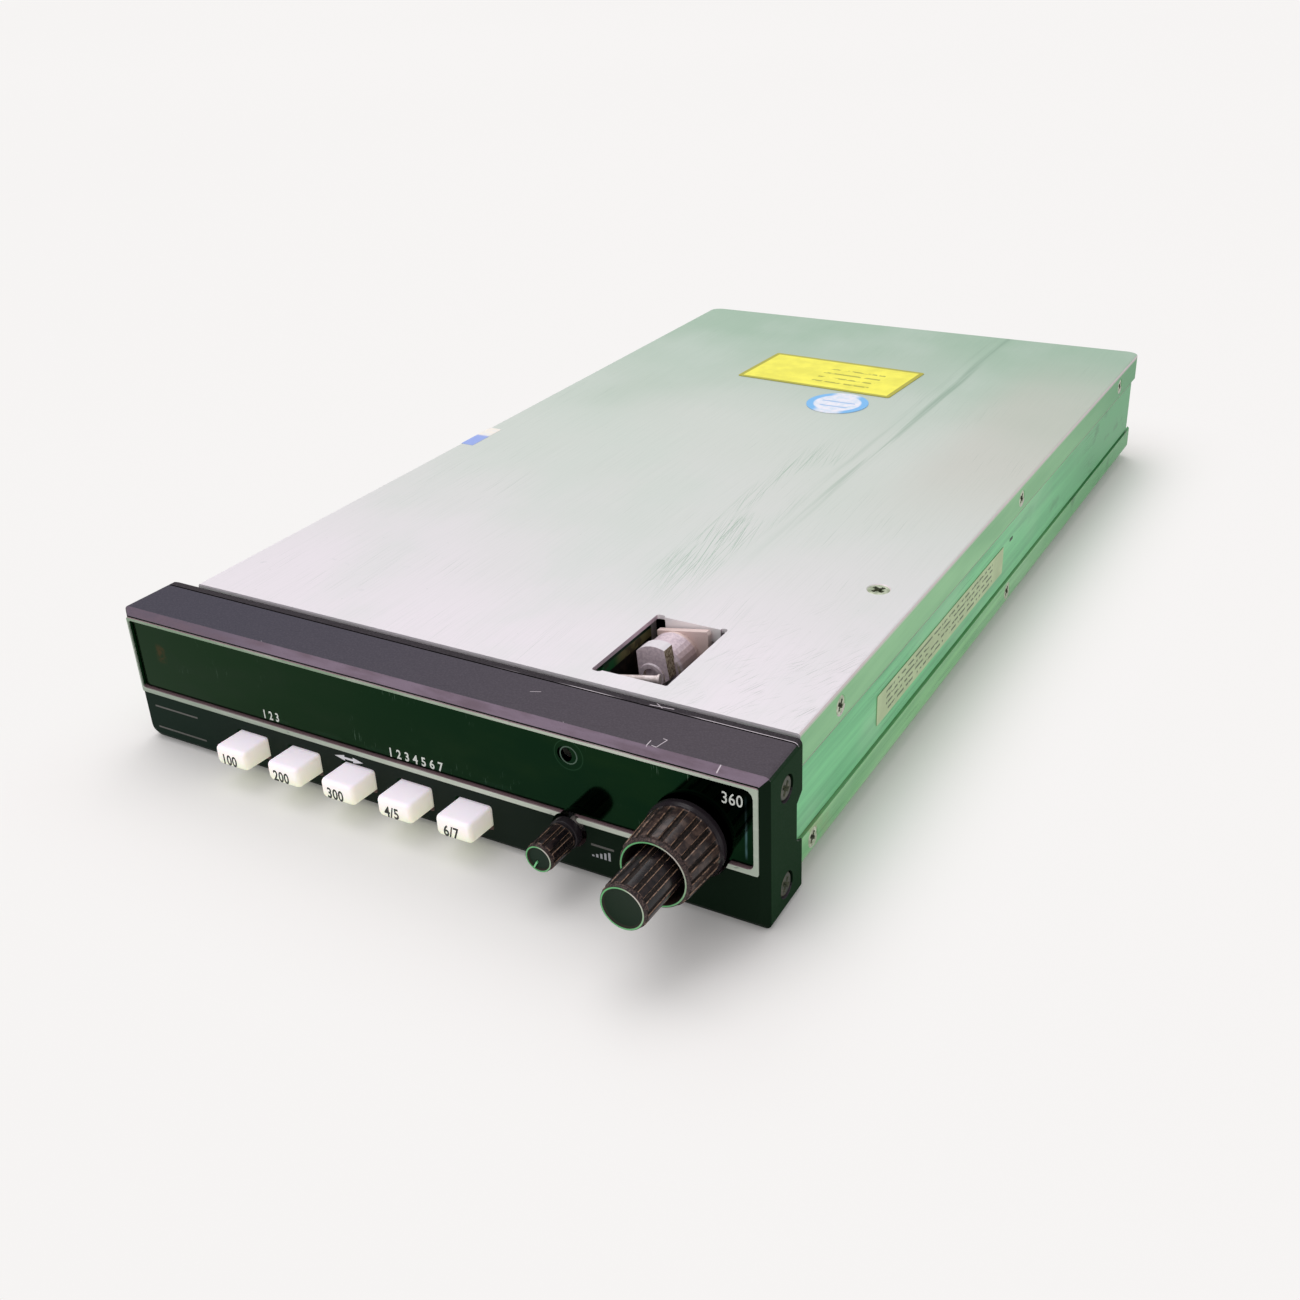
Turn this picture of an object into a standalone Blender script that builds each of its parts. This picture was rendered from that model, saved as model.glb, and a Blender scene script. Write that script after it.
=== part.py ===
"""Panel-mounted aircraft receiver: bezel with keys and knobs on a long sheet-metal chassis.

Frame: X to the right seen from the front, +Z up, the front panel faces -Y.
Every y below is measured from the bezel's front face, and place() moves it so that
the origin is the centre of the base of the whole object's box.
"""
import math

import bmesh
import bpy
from mathutils import Matrix, Vector

MM = 0.001

# ---------------------------------------------------------------- driving dimensions (mm)
BEZEL_W = 158.75
BEZEL_H = 33.0
BEZEL_D = 15.8
BEVEL_Y = 1.3
BEVEL_Z = 1.6
BEZEL_CORNERS = (2.6, 1.2, 1.2, 1.2)
FRONT_WALL = 3.0
END_WALL = 2.475

WINDOW = (-77.3, 13.5, 76.7, 30.45)
WINDOW_CORNERS = (0.8, 1.2, 1.8, 0.8)
TRIM = (-77.7, 12.4, 77.6, 31.1)
LENS_Y = 0.4
ACCESS_X = 37.1
ACCESS_Z = 26.7
ACCESS_R = 1.65

KEY_FIRST_X = -45.3
KEY_PITCH = 14.88
KEY_COUNT = 5
KEY_W = 8.3
KEY_Z0 = 4.2
KEY_Z1 = 9.25
KEY_OUT = 7.2
KEY_TRAVEL = 1.2

VOLUME_X = 37.1
VOLUME_Z = 9.9
VOLUME_OUT = 10.8
VOLUME_RELIEF_R = 3.9

TUNING_X = 63.3
TUNING_Z = 16.6
OUTER_OUT = 12.9
INNER_OUT = 23.5
TUNING_RELIEF_R = 8.9

CHASSIS_L = -71.7
CHASSIS_R = 78.15
CHASSIS_TOP = 33.4
CHASSIS_BOTTOM = 3.0
CHASSIS_REAR = 268.4
SHEET = 1.0
REAR_CORNER = 4.0
UPPER_FLANGE_Z = 26.3
LOWER_FLANGE_Z = 9.75
GAP = 0.3

LATCH_WINDOW = (31.0, 20.95, 47.8, 46.3)
WINDOW_TAB = (33.1, 46.3)
TAB_DEPTH = 3.2
LATCH_X = ACCESS_X
LATCH_Z = ACCESS_Z

UPPER_SCREWS = (34.5, 148.1, 244.7)
LOWER_SCREWS = (22.2, 141.3)
UPPER_SCREW_Z = 29.7
LOWER_SCREW_Z = 7.0
END_SCREW_Y = 8.2
END_SCREW_Z = (26.7, 5.5)
TOP_SCREW = (68.3, 77.5)

REAR_END = 276.5
Y_MID = (REAR_END - INNER_OUT) / 2

# ---------------------------------------------------------------- scene and materials
for old in list(bpy.data.objects):
    bpy.data.objects.remove(old, do_unlink=True)

COLLECTION = bpy.context.scene.collection


def material(name, colour, roughness, metallic=0.0):
    mat = bpy.data.materials.new(name)
    mat.use_nodes = True
    shader = mat.node_tree.nodes["Principled BSDF"]
    shader.inputs["Base Color"].default_value = (*colour, 1.0)
    shader.inputs["Roughness"].default_value = roughness
    shader.inputs["Metallic"].default_value = metallic
    mat.diffuse_color = (*colour, 1.0)
    return mat


def place(x, y, z):
    """Millimetres from the front face's plane to metres in the object's frame."""
    return Vector((x * MM, (y - Y_MID) * MM, z * MM))


def add(name, bm, mat, pivot=None, smooth=30.0, parent=None):
    """Makes one named object from bm, with its origin at pivot (mm)."""
    bmesh.ops.remove_doubles(bm, verts=bm.verts, dist=1e-7)
    bmesh.ops.recalc_face_normals(bm, faces=bm.faces)
    mesh = bpy.data.meshes.new(name)
    origin = place(*pivot) if pivot else Vector((0.0, 0.0, 0.0))
    bmesh.ops.translate(bm, verts=bm.verts, vec=-origin)
    bm.to_mesh(mesh)
    bm.free()
    obj = bpy.data.objects.new(name, mesh)
    obj.location = origin
    COLLECTION.objects.link(obj)
    mesh.materials.append(mat)
    if smooth:
        mesh.shade_smooth()
        mesh.set_sharp_from_angle(angle=math.radians(smooth))
    if parent:
        obj.parent = parent
        obj.matrix_parent_inverse = Matrix.Translation(-parent.location)
    return obj


def empty(name, pivot):
    obj = bpy.data.objects.new(name, None)
    obj.location = place(*pivot)
    obj.empty_display_size = 0.004
    COLLECTION.objects.link(obj)
    return obj


# ---------------------------------------------------------------- shape helpers
def loft(loops, closed=False):
    """Skins equal-length loops of points (mm). Open lofts get flat end caps."""
    bm = bmesh.new()
    rings = [[bm.verts.new(place(*point)) for point in loop] for loop in loops]
    pairs = list(zip(rings, rings[1:]))
    if closed:
        pairs.append((rings[-1], rings[0]))
    for one, two in pairs:
        count = len(one)
        for i in range(count):
            j = (i + 1) % count
            bm.faces.new((one[i], one[j], two[j], two[i]))
    if not closed:
        bm.faces.new(rings[0])
        bm.faces.new(list(reversed(rings[-1])))
    return bm


def prism_y(outline, y0, y1):
    """Outline of (x, z) points run along Y."""
    return loft([[(x, y, z) for x, z in outline] for y in (y0, y1)])


def prism_z(outline, z0, z1):
    """Outline of (x, y) points run along Z."""
    return loft([[(x, y, z) for x, y in outline] for z in (z0, z1)])


def prism_x(outline, x0, x1):
    """Outline of (y, z) points run along X."""
    return loft([[(x, y, z) for y, z in outline] for x in (x0, x1)])


def block(x0, y0, z0, x1, y1, z1):
    return prism_z([(x0, y0), (x1, y0), (x1, y1), (x0, y1)], z0, z1)


def rounded(u0, v0, u1, v1, radius, steps=3):
    """Rounded rectangle outline; radius is one number or one for each corner, from (u0, v0) round."""
    radii = radius if isinstance(radius, (tuple, list)) else (radius,) * 4
    corners = [(u0, v0, 180, 1, 1), (u1, v0, 270, -1, 1), (u1, v1, 0, -1, -1), (u0, v1, 90, 1, -1)]
    points = []
    for (u, v, start, su, sv), r in zip(corners, radii):
        if r <= 0:
            points.append((u, v))
            continue
        for i in range(steps + 1):
            a = math.radians(start + 90 * i / steps)
            points.append((u + su * r + r * math.cos(a), v + sv * r + r * math.sin(a)))
    return points


def circle(u, v, radius, count, turn=0.0):
    turns = [turn + math.tau * i / count for i in range(count)]
    return [(u + radius * math.cos(a), v + radius * math.sin(a)) for a in turns]


def turned(profile, centre, axis, count, closed=False, ribs=0):
    """Turns (radius, position, groove depth) points about an axis through centre.

    With ribs, each rib has four points round, and the groove depth lowers two of them.
    """
    if ribs:
        count = ribs * 4
        share = (0.06, 0.44, 0.56, 0.94)
        turns = [math.tau * (i // 4 + share[i % 4]) / ribs for i in range(count)]
        low = [i % 4 > 1 for i in range(count)]
    else:
        turns = [math.tau * i / count for i in range(count)]
        low = [False] * count
    bm = bmesh.new()

    def point(radius, along, turn):
        u, v = radius * math.cos(turn), radius * math.sin(turn)
        x, y, z = centre
        if axis == "Y":
            return place(x + u, along, z + v)
        if axis == "X":
            return place(along, y + u, z + v)
        return place(x + u, y + v, along)

    rings = []
    for entry in profile:
        radius, along = entry[:2]
        depth = entry[2] if len(entry) > 2 else 0.0
        if radius < 1e-6:
            rings.append([bm.verts.new(point(0.0, along, 0.0))])
        else:
            reach = [radius - depth if low[i] else radius for i in range(count)]
            rings.append([bm.verts.new(point(reach[i], along, turns[i])) for i in range(count)])
    pairs = list(zip(rings, rings[1:]))
    if closed:
        pairs.append((rings[-1], rings[0]))
    for one, two in pairs:
        for i in range(count):
            j = (i + 1) % count
            if len(one) == 1:
                bm.faces.new((one[0], two[j], two[i]))
            elif len(two) == 1:
                bm.faces.new((one[i], one[j], two[0]))
            else:
                bm.faces.new((one[i], one[j], two[j], two[i]))
    if not closed and len(rings[0]) > 1:
        bm.faces.new(rings[0])
    if not closed and len(rings[-1]) > 1:
        bm.faces.new(list(reversed(rings[-1])))
    return bm


def joined(*parts):
    """Several separate bodies in one bmesh, for a cutter."""
    bm = bmesh.new()
    for part in parts:
        bmesh.ops.recalc_face_normals(part, faces=part.faces)
        mesh = bpy.data.meshes.new("joined")
        part.to_mesh(mesh)
        part.free()
        bm.from_mesh(mesh)
        bpy.data.meshes.remove(mesh)
    return bm


def boolean(obj, operation, name, bm):
    """Adds a Boolean modifier whose tool is a hidden wire object."""
    bmesh.ops.recalc_face_normals(bm, faces=bm.faces)
    mesh = bpy.data.meshes.new(name)
    bm.to_mesh(mesh)
    bm.free()
    tool = bpy.data.objects.new(name, mesh)
    tool.hide_render = True
    tool.display_type = "WIRE"
    COLLECTION.objects.link(tool)
    if obj.parent:
        tool.parent = obj.parent
        tool.matrix_parent_inverse = Matrix.Translation(-obj.parent.location)
    modifier = obj.modifiers.new(name, "BOOLEAN")
    modifier.operation = operation
    modifier.solver = "EXACT"
    modifier.object = tool
    return tool


def cut(obj, name, *parts):
    return boolean(obj, "DIFFERENCE", "cut_" + name, joined(*parts))


def unite(obj, name, part):
    return boolean(obj, "UNION", "add_" + name, joined(part))


# ---------------------------------------------------------------- materials
BLACK = material("bezel_black", (0.035, 0.034, 0.040), 0.42)
TRIM_PALE = material("trim_pale", (0.42, 0.48, 0.42), 0.45)
LENS_DARK = material("lens_dark", (0.006, 0.028, 0.014), 0.08)
KEY_WHITE = material("key_white", (0.86, 0.85, 0.82), 0.40)
KNOB_BLACK = material("knob_black", (0.022, 0.020, 0.020), 0.38)
SHEET_METAL = material("chassis_aluminium", (0.62, 0.66, 0.62), 0.38, 0.85)
RAIL_METAL = material("rail_aluminium", (0.34, 0.58, 0.42), 0.35, 0.7)
STEEL = material("screw_steel", (0.52, 0.52, 0.48), 0.32, 0.9)
CAST = material("paw_casting", (0.60, 0.53, 0.53), 0.45, 0.7)
PIN_STEEL = material("pin_steel", (0.72, 0.70, 0.68), 0.22, 1.0)
BOARD = material("board_green", (0.03, 0.14, 0.06), 0.5)
BLOCK = material("moulded_block", (0.05, 0.05, 0.055), 0.5)
CAN = material("shield_can", (0.60, 0.60, 0.58), 0.35, 0.9)
WINDING = material("winding_amber", (0.45, 0.22, 0.07), 0.5)
SLEEVE = material("capacitor_blue", (0.05, 0.10, 0.28), 0.4)
YELLOW = material("label_yellow", (0.78, 0.70, 0.06), 0.5)
STICKER = material("sticker_blue_white", (0.45, 0.68, 0.82), 0.5)
PAPER = material("label_paper", (0.68, 0.72, 0.52), 0.6)
GLASS = material("display_glass", (0.05, 0.05, 0.05), 0.1)
CONTACT = material("connector_green", (0.05, 0.16, 0.12), 0.45)
BRASS = material("connector_brass", (0.70, 0.52, 0.24), 0.3, 1.0)

# ---------------------------------------------------------------- bezel
HALF = BEZEL_W / 2
DRAFT = 0.35


def bezel_loop(y, inset_x, inset_z):
    radii = [max(radius - inset_z * 0.5, 0.4) for radius in BEZEL_CORNERS]
    outline = rounded(-HALF + inset_x, inset_z, HALF - inset_x, BEZEL_H - inset_z, radii, 4)
    return [(x, y, z) for x, z in outline]


bezel = add(
    "bezel",
    loft(
        [
            bezel_loop(0.0, BEVEL_Z, BEVEL_Z),
            bezel_loop(BEVEL_Y, 0.0, 0.0),
            bezel_loop(BEZEL_D - 0.7, DRAFT, 0.0),
            bezel_loop(BEZEL_D, DRAFT + 0.35, 0.35),
        ]
    ),
    BLACK,
)
inner_half = HALF - END_WALL
cut(bezel, "bezel_cavity", block(-inner_half, FRONT_WALL, 2.0, inner_half, 12.5, 31.0))
cut(bezel, "bezel_rear", block(-78.35, 12.0, 2.3, 78.35, 18.0, 31.6))
cut(bezel, "bezel_lip", block(CHASSIS_L - 0.6, 13.9, 2.3, 78.35, 18.5, 32.4))
cut(bezel, "lens_window", prism_y(rounded(*WINDOW, WINDOW_CORNERS), -1.0, FRONT_WALL + 0.5))


def key_x(index):
    return KEY_FIRST_X + KEY_PITCH * index


KEY_PLAY = 0.35
slot_half = KEY_W / 2 + KEY_PLAY
slots = [
    rounded(key_x(i) - slot_half, KEY_Z0 - KEY_PLAY, key_x(i) + slot_half, KEY_Z1 + KEY_PLAY, 0.6, 2)
    for i in range(KEY_COUNT)
]
cut(bezel, "key_slots", *[prism_y(slot, -1.0, FRONT_WALL + 0.5) for slot in slots])
cut(
    bezel,
    "knob_reliefs",
    prism_y(circle(VOLUME_X, VOLUME_Z, VOLUME_RELIEF_R, 32), -1.0, FRONT_WALL + 0.5),
    prism_y(circle(TUNING_X, TUNING_Z, TUNING_RELIEF_R, 48), -1.0, FRONT_WALL + 0.5),
)
end_tools = []
for side in (-1, 1):
    for z in END_SCREW_Z:
        end_tools.append(
            turned(
                [(0, 76.0 * side), (1.35, 76.0 * side), (1.35, 78.1 * side), (2.75, 78.1 * side),
                 (2.75, 80.5 * side), (0, 80.5 * side)],
                (0, END_SCREW_Y, z),
                "X",
                28,
            )
        )
cut(bezel, "end_screw_seats", *end_tools)
cut(
    bezel,
    "end_notches",
    *[
        prism_x([(12.7, 12.4), (12.7, 20.6), (16.2, 23.0), (16.2, 10.9), (15.6, 10.9), (12.9, 12.2)], x0, x1)
        for x0, x1 in ((-80.5, -78.0), (78.0, 80.5))
    ],
)
cut(bezel, "top_step", block(-81.0, 13.25, 32.68, 81.0, 13.6, 34.0))

# ---------------------------------------------------------------- trim round the display
u0, v0, u1, v1 = TRIM
trim_outer = rounded(u0, v0, u1, v1, 0.35)
display_trim = add("display_trim", prism_y(trim_outer, -0.4, -0.05), TRIM_PALE, smooth=0)
cut(display_trim, "trim_inside", prism_y(rounded(*WINDOW, WINDOW_CORNERS), -1.0, 0.5))
cut(display_trim, "trim_gap", block(VOLUME_X, -1.0, 11.0, TUNING_X, 0.5, 14.2))
cut(
    display_trim,
    "trim_reliefs",
    prism_y(circle(VOLUME_X, VOLUME_Z, VOLUME_RELIEF_R, 32), -1.0, 0.5),
    prism_y(circle(TUNING_X, TUNING_Z, TUNING_RELIEF_R, 48), -1.0, 0.5),
)
trim_mid = (TRIM[1] + WINDOW[1]) / 2
half_chord_v = math.sqrt(VOLUME_RELIEF_R**2 - (trim_mid - VOLUME_Z) ** 2)
half_chord_t = math.sqrt(TUNING_RELIEF_R**2 - (TUNING_Z - trim_mid) ** 2)
add(
    "display_trim_middle",
    prism_y(
        rounded(VOLUME_X + half_chord_v - 0.35, TRIM[1], TUNING_X - half_chord_t - 1.0, WINDOW[1], 0.5, 4),
        -0.4,
        -0.05,
    ),
    TRIM_PALE,
    smooth=0,
)

# ---------------------------------------------------------------- display lens and tube
u0, v0, u1, v1 = WINDOW
lens_corners = [radius - GAP for radius in WINDOW_CORNERS]
lens_outline = rounded(u0 + GAP, v0 + GAP, u1 - GAP, v1 - GAP, lens_corners)
lens = add("display_lens", prism_y(lens_outline, LENS_Y, LENS_Y + 1.8), LENS_DARK, smooth=0)
cut(
    lens,
    "lens_holes",
    prism_y(circle(ACCESS_X, ACCESS_Z, ACCESS_R, 28), 0.0, 4.0),
    prism_y(circle(TUNING_X, TUNING_Z, 5.0, 36), 0.0, 4.0),
)
add("display_tube", block(-70.0, 3.4, 15.0, 31.0, 7.4, 29.0), GLASS, smooth=0)

# ---------------------------------------------------------------- keys and their switches
KEY_NAMES = ("key_adf", "key_bfo", "key_frq", "key_flt_et", "key_set_rst")


def key_solid(cx):
    """White cap, retaining flange and rear stub in one moulding, along Y."""
    mid = (KEY_Z0 + KEY_Z1) / 2

    def ring(y, half_w, z0, z1, radius):
        return [(x, y, z) for x, z in rounded(cx - half_w, z0, cx + half_w, z1, radius, 2)]

    half = KEY_W / 2
    return loft(
        [
            ring(-KEY_OUT, half - 0.6, KEY_Z0 + 0.95, KEY_Z1 - 0.75, 0.8),
            ring(-KEY_OUT + 0.2, half - 0.25, KEY_Z0 + 0.6, KEY_Z1 - 0.35, 0.9),
            ring(-KEY_OUT + 0.7, half - 0.05, KEY_Z0 + 0.35, KEY_Z1 - 0.08, 1.0),
            ring(-KEY_OUT + 1.5, half, KEY_Z0 + 0.25, KEY_Z1, 0.9),
            ring(-0.2, half - 0.12, KEY_Z0, KEY_Z1, 0.6),
            ring(FRONT_WALL + GAP, half - 0.12, KEY_Z0, KEY_Z1, 0.6),
            ring(FRONT_WALL + GAP, half + 1.0, KEY_Z0 - 1.1, KEY_Z1 + 0.9, 0.6),
            ring(FRONT_WALL + GAP + 1.0, half + 1.0, KEY_Z0 - 1.1, KEY_Z1 + 0.9, 0.6),
            ring(FRONT_WALL + GAP + 1.0, 2.2, mid - 1.8, mid + 1.8, 0.4),
            ring(FRONT_WALL + GAP + 2.9, 2.2, mid - 1.8, mid + 1.8, 0.4),
        ]
    )


stub_end = FRONT_WALL + GAP + 2.9
for index, key_name in enumerate(KEY_NAMES):
    cx = key_x(index)
    pivot = (cx, 0.0, (KEY_Z0 + KEY_Z1) / 2)
    add(key_name, key_solid(cx), KEY_WHITE, pivot=pivot)
    face = stub_end + KEY_TRAVEL + GAP
    switch = add(
        f"key_switch_{index + 1}",
        block(cx - 3.2, face, 3.6, cx + 3.2, face + 3.0, 10.0),
        BLOCK,
        smooth=0,
    )
    unite(switch, f"plunger_{index + 1}", prism_y(circle(cx, 6.8, 1.4, 16), face - 0.15, face + 0.5))
board_y = stub_end + KEY_TRAVEL + GAP + 3.0 + GAP
add("switch_board", block(-57.0, board_y, 2.8, 26.0, board_y + 1.2, 11.6), BOARD, smooth=0)

# ---------------------------------------------------------------- front plate
PLATE_Y = board_y + 1.5
PLATE_T = 1.4
front_plate = add(
    "front_plate",
    block(-76.6, PLATE_Y, 2.6, 76.6, PLATE_Y + PLATE_T, 30.7),
    SHEET_METAL,
    smooth=0,
)
for side in (-1, 1):
    x0, x1 = sorted((75.0 * side, 76.6 * side))
    unite(front_plate, f"ear_{'left' if side < 0 else 'right'}", block(x0, 5.5, 2.6, x1, PLATE_Y + 0.7, 30.7))
cut(
    front_plate,
    "plate_holes",
    prism_y(circle(VOLUME_X, VOLUME_Z, 2.95, 28), PLATE_Y - 1, PLATE_Y + 3),
    prism_y(circle(TUNING_X, TUNING_Z, 4.75, 32), PLATE_Y - 1, PLATE_Y + 3),
    prism_y(circle(ACCESS_X, ACCESS_Z, 2.2, 24), PLATE_Y - 1, PLATE_Y + 3),
    prism_y(rounded(-30.0, 15.0, 10.0, 25.0, 2.0), PLATE_Y - 1, PLATE_Y + 3),
)
cut(
    front_plate,
    "ear_holes",
    *[
        turned([(0, x0), (1.2, x0), (1.2, x1), (0, x1)], (0, END_SCREW_Y, z), "X", 20)
        for x0, x1 in ((-78.0, -73.5), (73.5, 78.0))
        for z in END_SCREW_Z
    ],
)
BEHIND = PLATE_Y + PLATE_T + GAP

# ---------------------------------------------------------------- volume knob and control
volume_axis = (VOLUME_X, 0, VOLUME_Z)
volume_empty = empty("volume_axis", (VOLUME_X, -5.0, VOLUME_Z))
volume_knob = add(
    "volume_knob",
    turned(
        [
            (0, -VOLUME_OUT + 0.45),
            (2.5, -VOLUME_OUT + 0.45),
            (2.62, -VOLUME_OUT),
            (2.88, -VOLUME_OUT),
            (2.94, -VOLUME_OUT + 0.25),
            (2.94, -VOLUME_OUT + 0.8),
            (3.12, -VOLUME_OUT + 1.0, 0.3),
            (3.18, -3.4, 0.3),
            (3.12, -3.15),
            (3.12, -2.75),
            (2.95, -2.65),
            (2.95, -2.4),
            (3.22, -2.25),
            (3.3, -0.6),
            (1.65, -0.6),
            (1.65, -8.4),
            (0, -8.4),
        ],
        volume_axis,
        "Y",
        0,
        ribs=10,
    ),
    KNOB_BLACK,
    pivot=(VOLUME_X, -5.0, VOLUME_Z),
    parent=volume_empty,
)
POINTER_TURN = math.radians(240)
pointer_mid = 1.9
pointer = prism_y(
    [
        (
            VOLUME_X + u * math.cos(POINTER_TURN) - v * math.sin(POINTER_TURN),
            VOLUME_Z + u * math.sin(POINTER_TURN) + v * math.cos(POINTER_TURN),
        )
        for u, v in ((0.9, -0.2), (2.7, -0.2), (2.7, 0.2), (0.9, 0.2))
    ],
    -VOLUME_OUT + 0.05,
    -VOLUME_OUT + 0.9,
)
unite(volume_knob, "pointer", pointer)
add(
    "volume_shaft",
    turned([(0, -8.1), (1.5, -8.1), (1.5, BEHIND + 3.4), (0, BEHIND + 3.4)], volume_axis, "Y", 24),
    PIN_STEEL,
    pivot=(VOLUME_X, -5.0, VOLUME_Z),
    parent=volume_empty,
)
add(
    "volume_control",
    turned(
        [
            (0, BEHIND + 6.8),
            (5.4, BEHIND + 6.8),
            (5.4, BEHIND),
            (2.6, BEHIND),
            (2.6, 3.6),
            (1.65, 3.6),
            (1.65, BEHIND + 4.0),
            (0, BEHIND + 4.0),
        ],
        volume_axis,
        "Y",
        24,
    ),
    BLOCK,
)

# ---------------------------------------------------------------- tuning knobs, shafts and encoder
tuning_axis = (TUNING_X, 0, TUNING_Z)
outer_empty = empty("outer_tuning_axis", (TUNING_X, -6.0, TUNING_Z))
inner_empty = empty("inner_tuning_axis", (TUNING_X, -16.0, TUNING_Z))
add(
    "outer_tuning_knob",
    turned(
        [
            (1.95, -6.6),
            (5.95, -6.6),
            (6.15, -OUTER_OUT + 0.4),
            (6.42, -OUTER_OUT),
            (6.78, -OUTER_OUT),
            (6.98, -OUTER_OUT + 0.35),
            (7.02, -OUTER_OUT + 1.0),
            (7.4, -OUTER_OUT + 1.3, 0.42),
            (7.9, -2.75, 0.42),
            (7.95, -2.3),
            (8.3, -1.6),
            (8.3, -0.7),
            (3.15, -0.7),
            (3.15, -5.6),
            (1.95, -5.6),
        ],
        tuning_axis,
        "Y",
        0,
        closed=True,
        ribs=18,
    ),
    KNOB_BLACK,
    pivot=(TUNING_X, -6.0, TUNING_Z),
    parent=outer_empty,
)
add(
    "outer_tuning_shaft",
    turned(
        [(1.8, -5.3), (3.0, -5.3), (3.0, BEHIND + 1.6), (1.8, BEHIND + 1.6)],
        tuning_axis,
        "Y",
        24,
        closed=True,
    ),
    PIN_STEEL,
    pivot=(TUNING_X, -6.0, TUNING_Z),
    parent=outer_empty,
)
add(
    "inner_tuning_knob",
    turned(
        [
            (0, -INNER_OUT + 0.95),
            (3.1, -INNER_OUT + 0.7),
            (3.75, -INNER_OUT + 0.35),
            (4.08, -INNER_OUT),
            (4.36, -INNER_OUT),
            (4.5, -INNER_OUT + 0.3),
            (4.5, -INNER_OUT + 0.95),
            (4.76, -INNER_OUT + 1.2, 0.34),
            (4.82, -8.6, 0.34),
            (4.72, -8.2),
            (4.5, -7.8),
            (1.65, -7.8),
            (1.65, -19.6),
            (0, -19.6),
        ],
        tuning_axis,
        "Y",
        0,
        ribs=12,
    ),
    KNOB_BLACK,
    pivot=(TUNING_X, -16.0, TUNING_Z),
    parent=inner_empty,
)
add(
    "inner_tuning_shaft",
    turned([(0, -19.3), (1.5, -19.3), (1.5, BEHIND + 12.0), (0, BEHIND + 12.0)], tuning_axis, "Y", 24),
    PIN_STEEL,
    pivot=(TUNING_X, -16.0, TUNING_Z),
    parent=inner_empty,
)
add(
    "encoder_rotor",
    turned(
        [(1.65, BEHIND + 2.6), (4.2, BEHIND + 2.6), (4.2, BEHIND + 6.6), (1.65, BEHIND + 6.6)],
        tuning_axis,
        "Y",
        24,
        closed=True,
    ),
    BRASS,
    pivot=(TUNING_X, BEHIND + 4.6, TUNING_Z),
)
add(
    "tuning_encoder",
    turned(
        [
            (3.15, 3.6),
            (4.4, 3.6),
            (4.4, BEHIND),
            (7.0, BEHIND),
            (7.0, BEHIND + 10.0),
            (4.6, BEHIND + 10.0),
            (4.6, BEHIND + 2.0),
            (3.15, BEHIND + 2.0),
        ],
        tuning_axis,
        "Y",
        28,
        closed=True,
    ),
    BLOCK,
)

# ---------------------------------------------------------------- side rails
RAIL_Y1 = CHASSIS_REAR - REAR_CORNER - 1.6
CENTRE = (CHASSIS_L + CHASSIS_R) / 2


def mirrored(x, side):
    """x of the right side, or its place on the left side of the chassis."""
    return x if side > 0 else 2 * CENTRE - x


def rail_outline(side):
    web = CHASSIS_R - SHEET - GAP
    band = web + 0.8
    points = [
        (64.5, 32.1),
        (web, 32.1),
        (web, UPPER_FLANGE_Z - 0.4),
        (band, UPPER_FLANGE_Z - 1.0),
        (band, LOWER_FLANGE_Z + 0.55),
        (web, LOWER_FLANGE_Z + 0.32),
        (web, 4.3),
        (70.0, 4.3),
        (70.0, 5.5),
        (web - 1.5, 5.5),
        (web - 1.5, 30.9),
        (64.5, 30.9),
    ]
    return [(mirrored(x, side), z) for x, z in points]


def side_holes(radius, x0, x1, side, screws, z):
    return [
        turned(
            [(0, mirrored(x0, side)), (radius, mirrored(x0, side)), (radius, mirrored(x1, side)),
             (0, mirrored(x1, side))],
            (0, y, z),
            "X",
            18,
        )
        for y in screws
    ]


for side, rail_name in ((1, "right_rail"), (-1, "left_rail")):
    rail = add(rail_name, prism_y(rail_outline(side), BEHIND, RAIL_Y1), RAIL_METAL, smooth=0)
    cut(
        rail,
        rail_name + "_holes",
        *side_holes(1.2, 73.0, 79.0, side, UPPER_SCREWS, UPPER_SCREW_Z),
        *side_holes(1.2, 73.0, 79.0, side, LOWER_SCREWS, LOWER_SCREW_Z),
    )
    if side > 0:
        cut(
            rail,
            "rail_top_hole",
            turned([(0, 29.0), (1.35, 29.0), (1.35, 33.5), (0, 33.5)], (*TOP_SCREW, 0), "Z", 20),
        )

# ---------------------------------------------------------------- covers
def u_outline(z_edge, z_face, bend):
    """Section of a folded cover: flanges end at z_edge, the outer face is at z_face."""
    up = 1 if z_face > z_edge else -1
    left, right = CHASSIS_L, CHASSIS_R
    outer = []
    inner = []
    steps = 3
    for i in range(steps + 1):
        a = math.radians(90 * i / steps)
        outer.append((left + bend - bend * math.cos(a), z_face - up * (bend - bend * math.sin(a))))
    for i in range(steps + 1):
        a = math.radians(90 - 90 * i / steps)
        outer.append((right - bend + bend * math.cos(a), z_face - up * (bend - bend * math.sin(a))))
    inner = [(right - SHEET, z_face - up * SHEET), (left + SHEET, z_face - up * SHEET)]
    return (
        [(left, z_edge)]
        + outer
        + [(right, z_edge), (right - SHEET, z_edge)]
        + inner
        + [(left + SHEET, z_edge)]
    )


def countersink(x_face, side, y, z):
    """Cone and shank hole through a cover's side flange."""
    profile = [(0, x_face - 1.4), (1.35, x_face - 1.4), (1.35, x_face - 0.85), (2.25, x_face + 0.05),
               (2.25, x_face + 1.0), (0, x_face + 1.0)]
    return turned([(r, mirrored(x, side)) for r, x in profile], (0, y, z), "X", 20)


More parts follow.
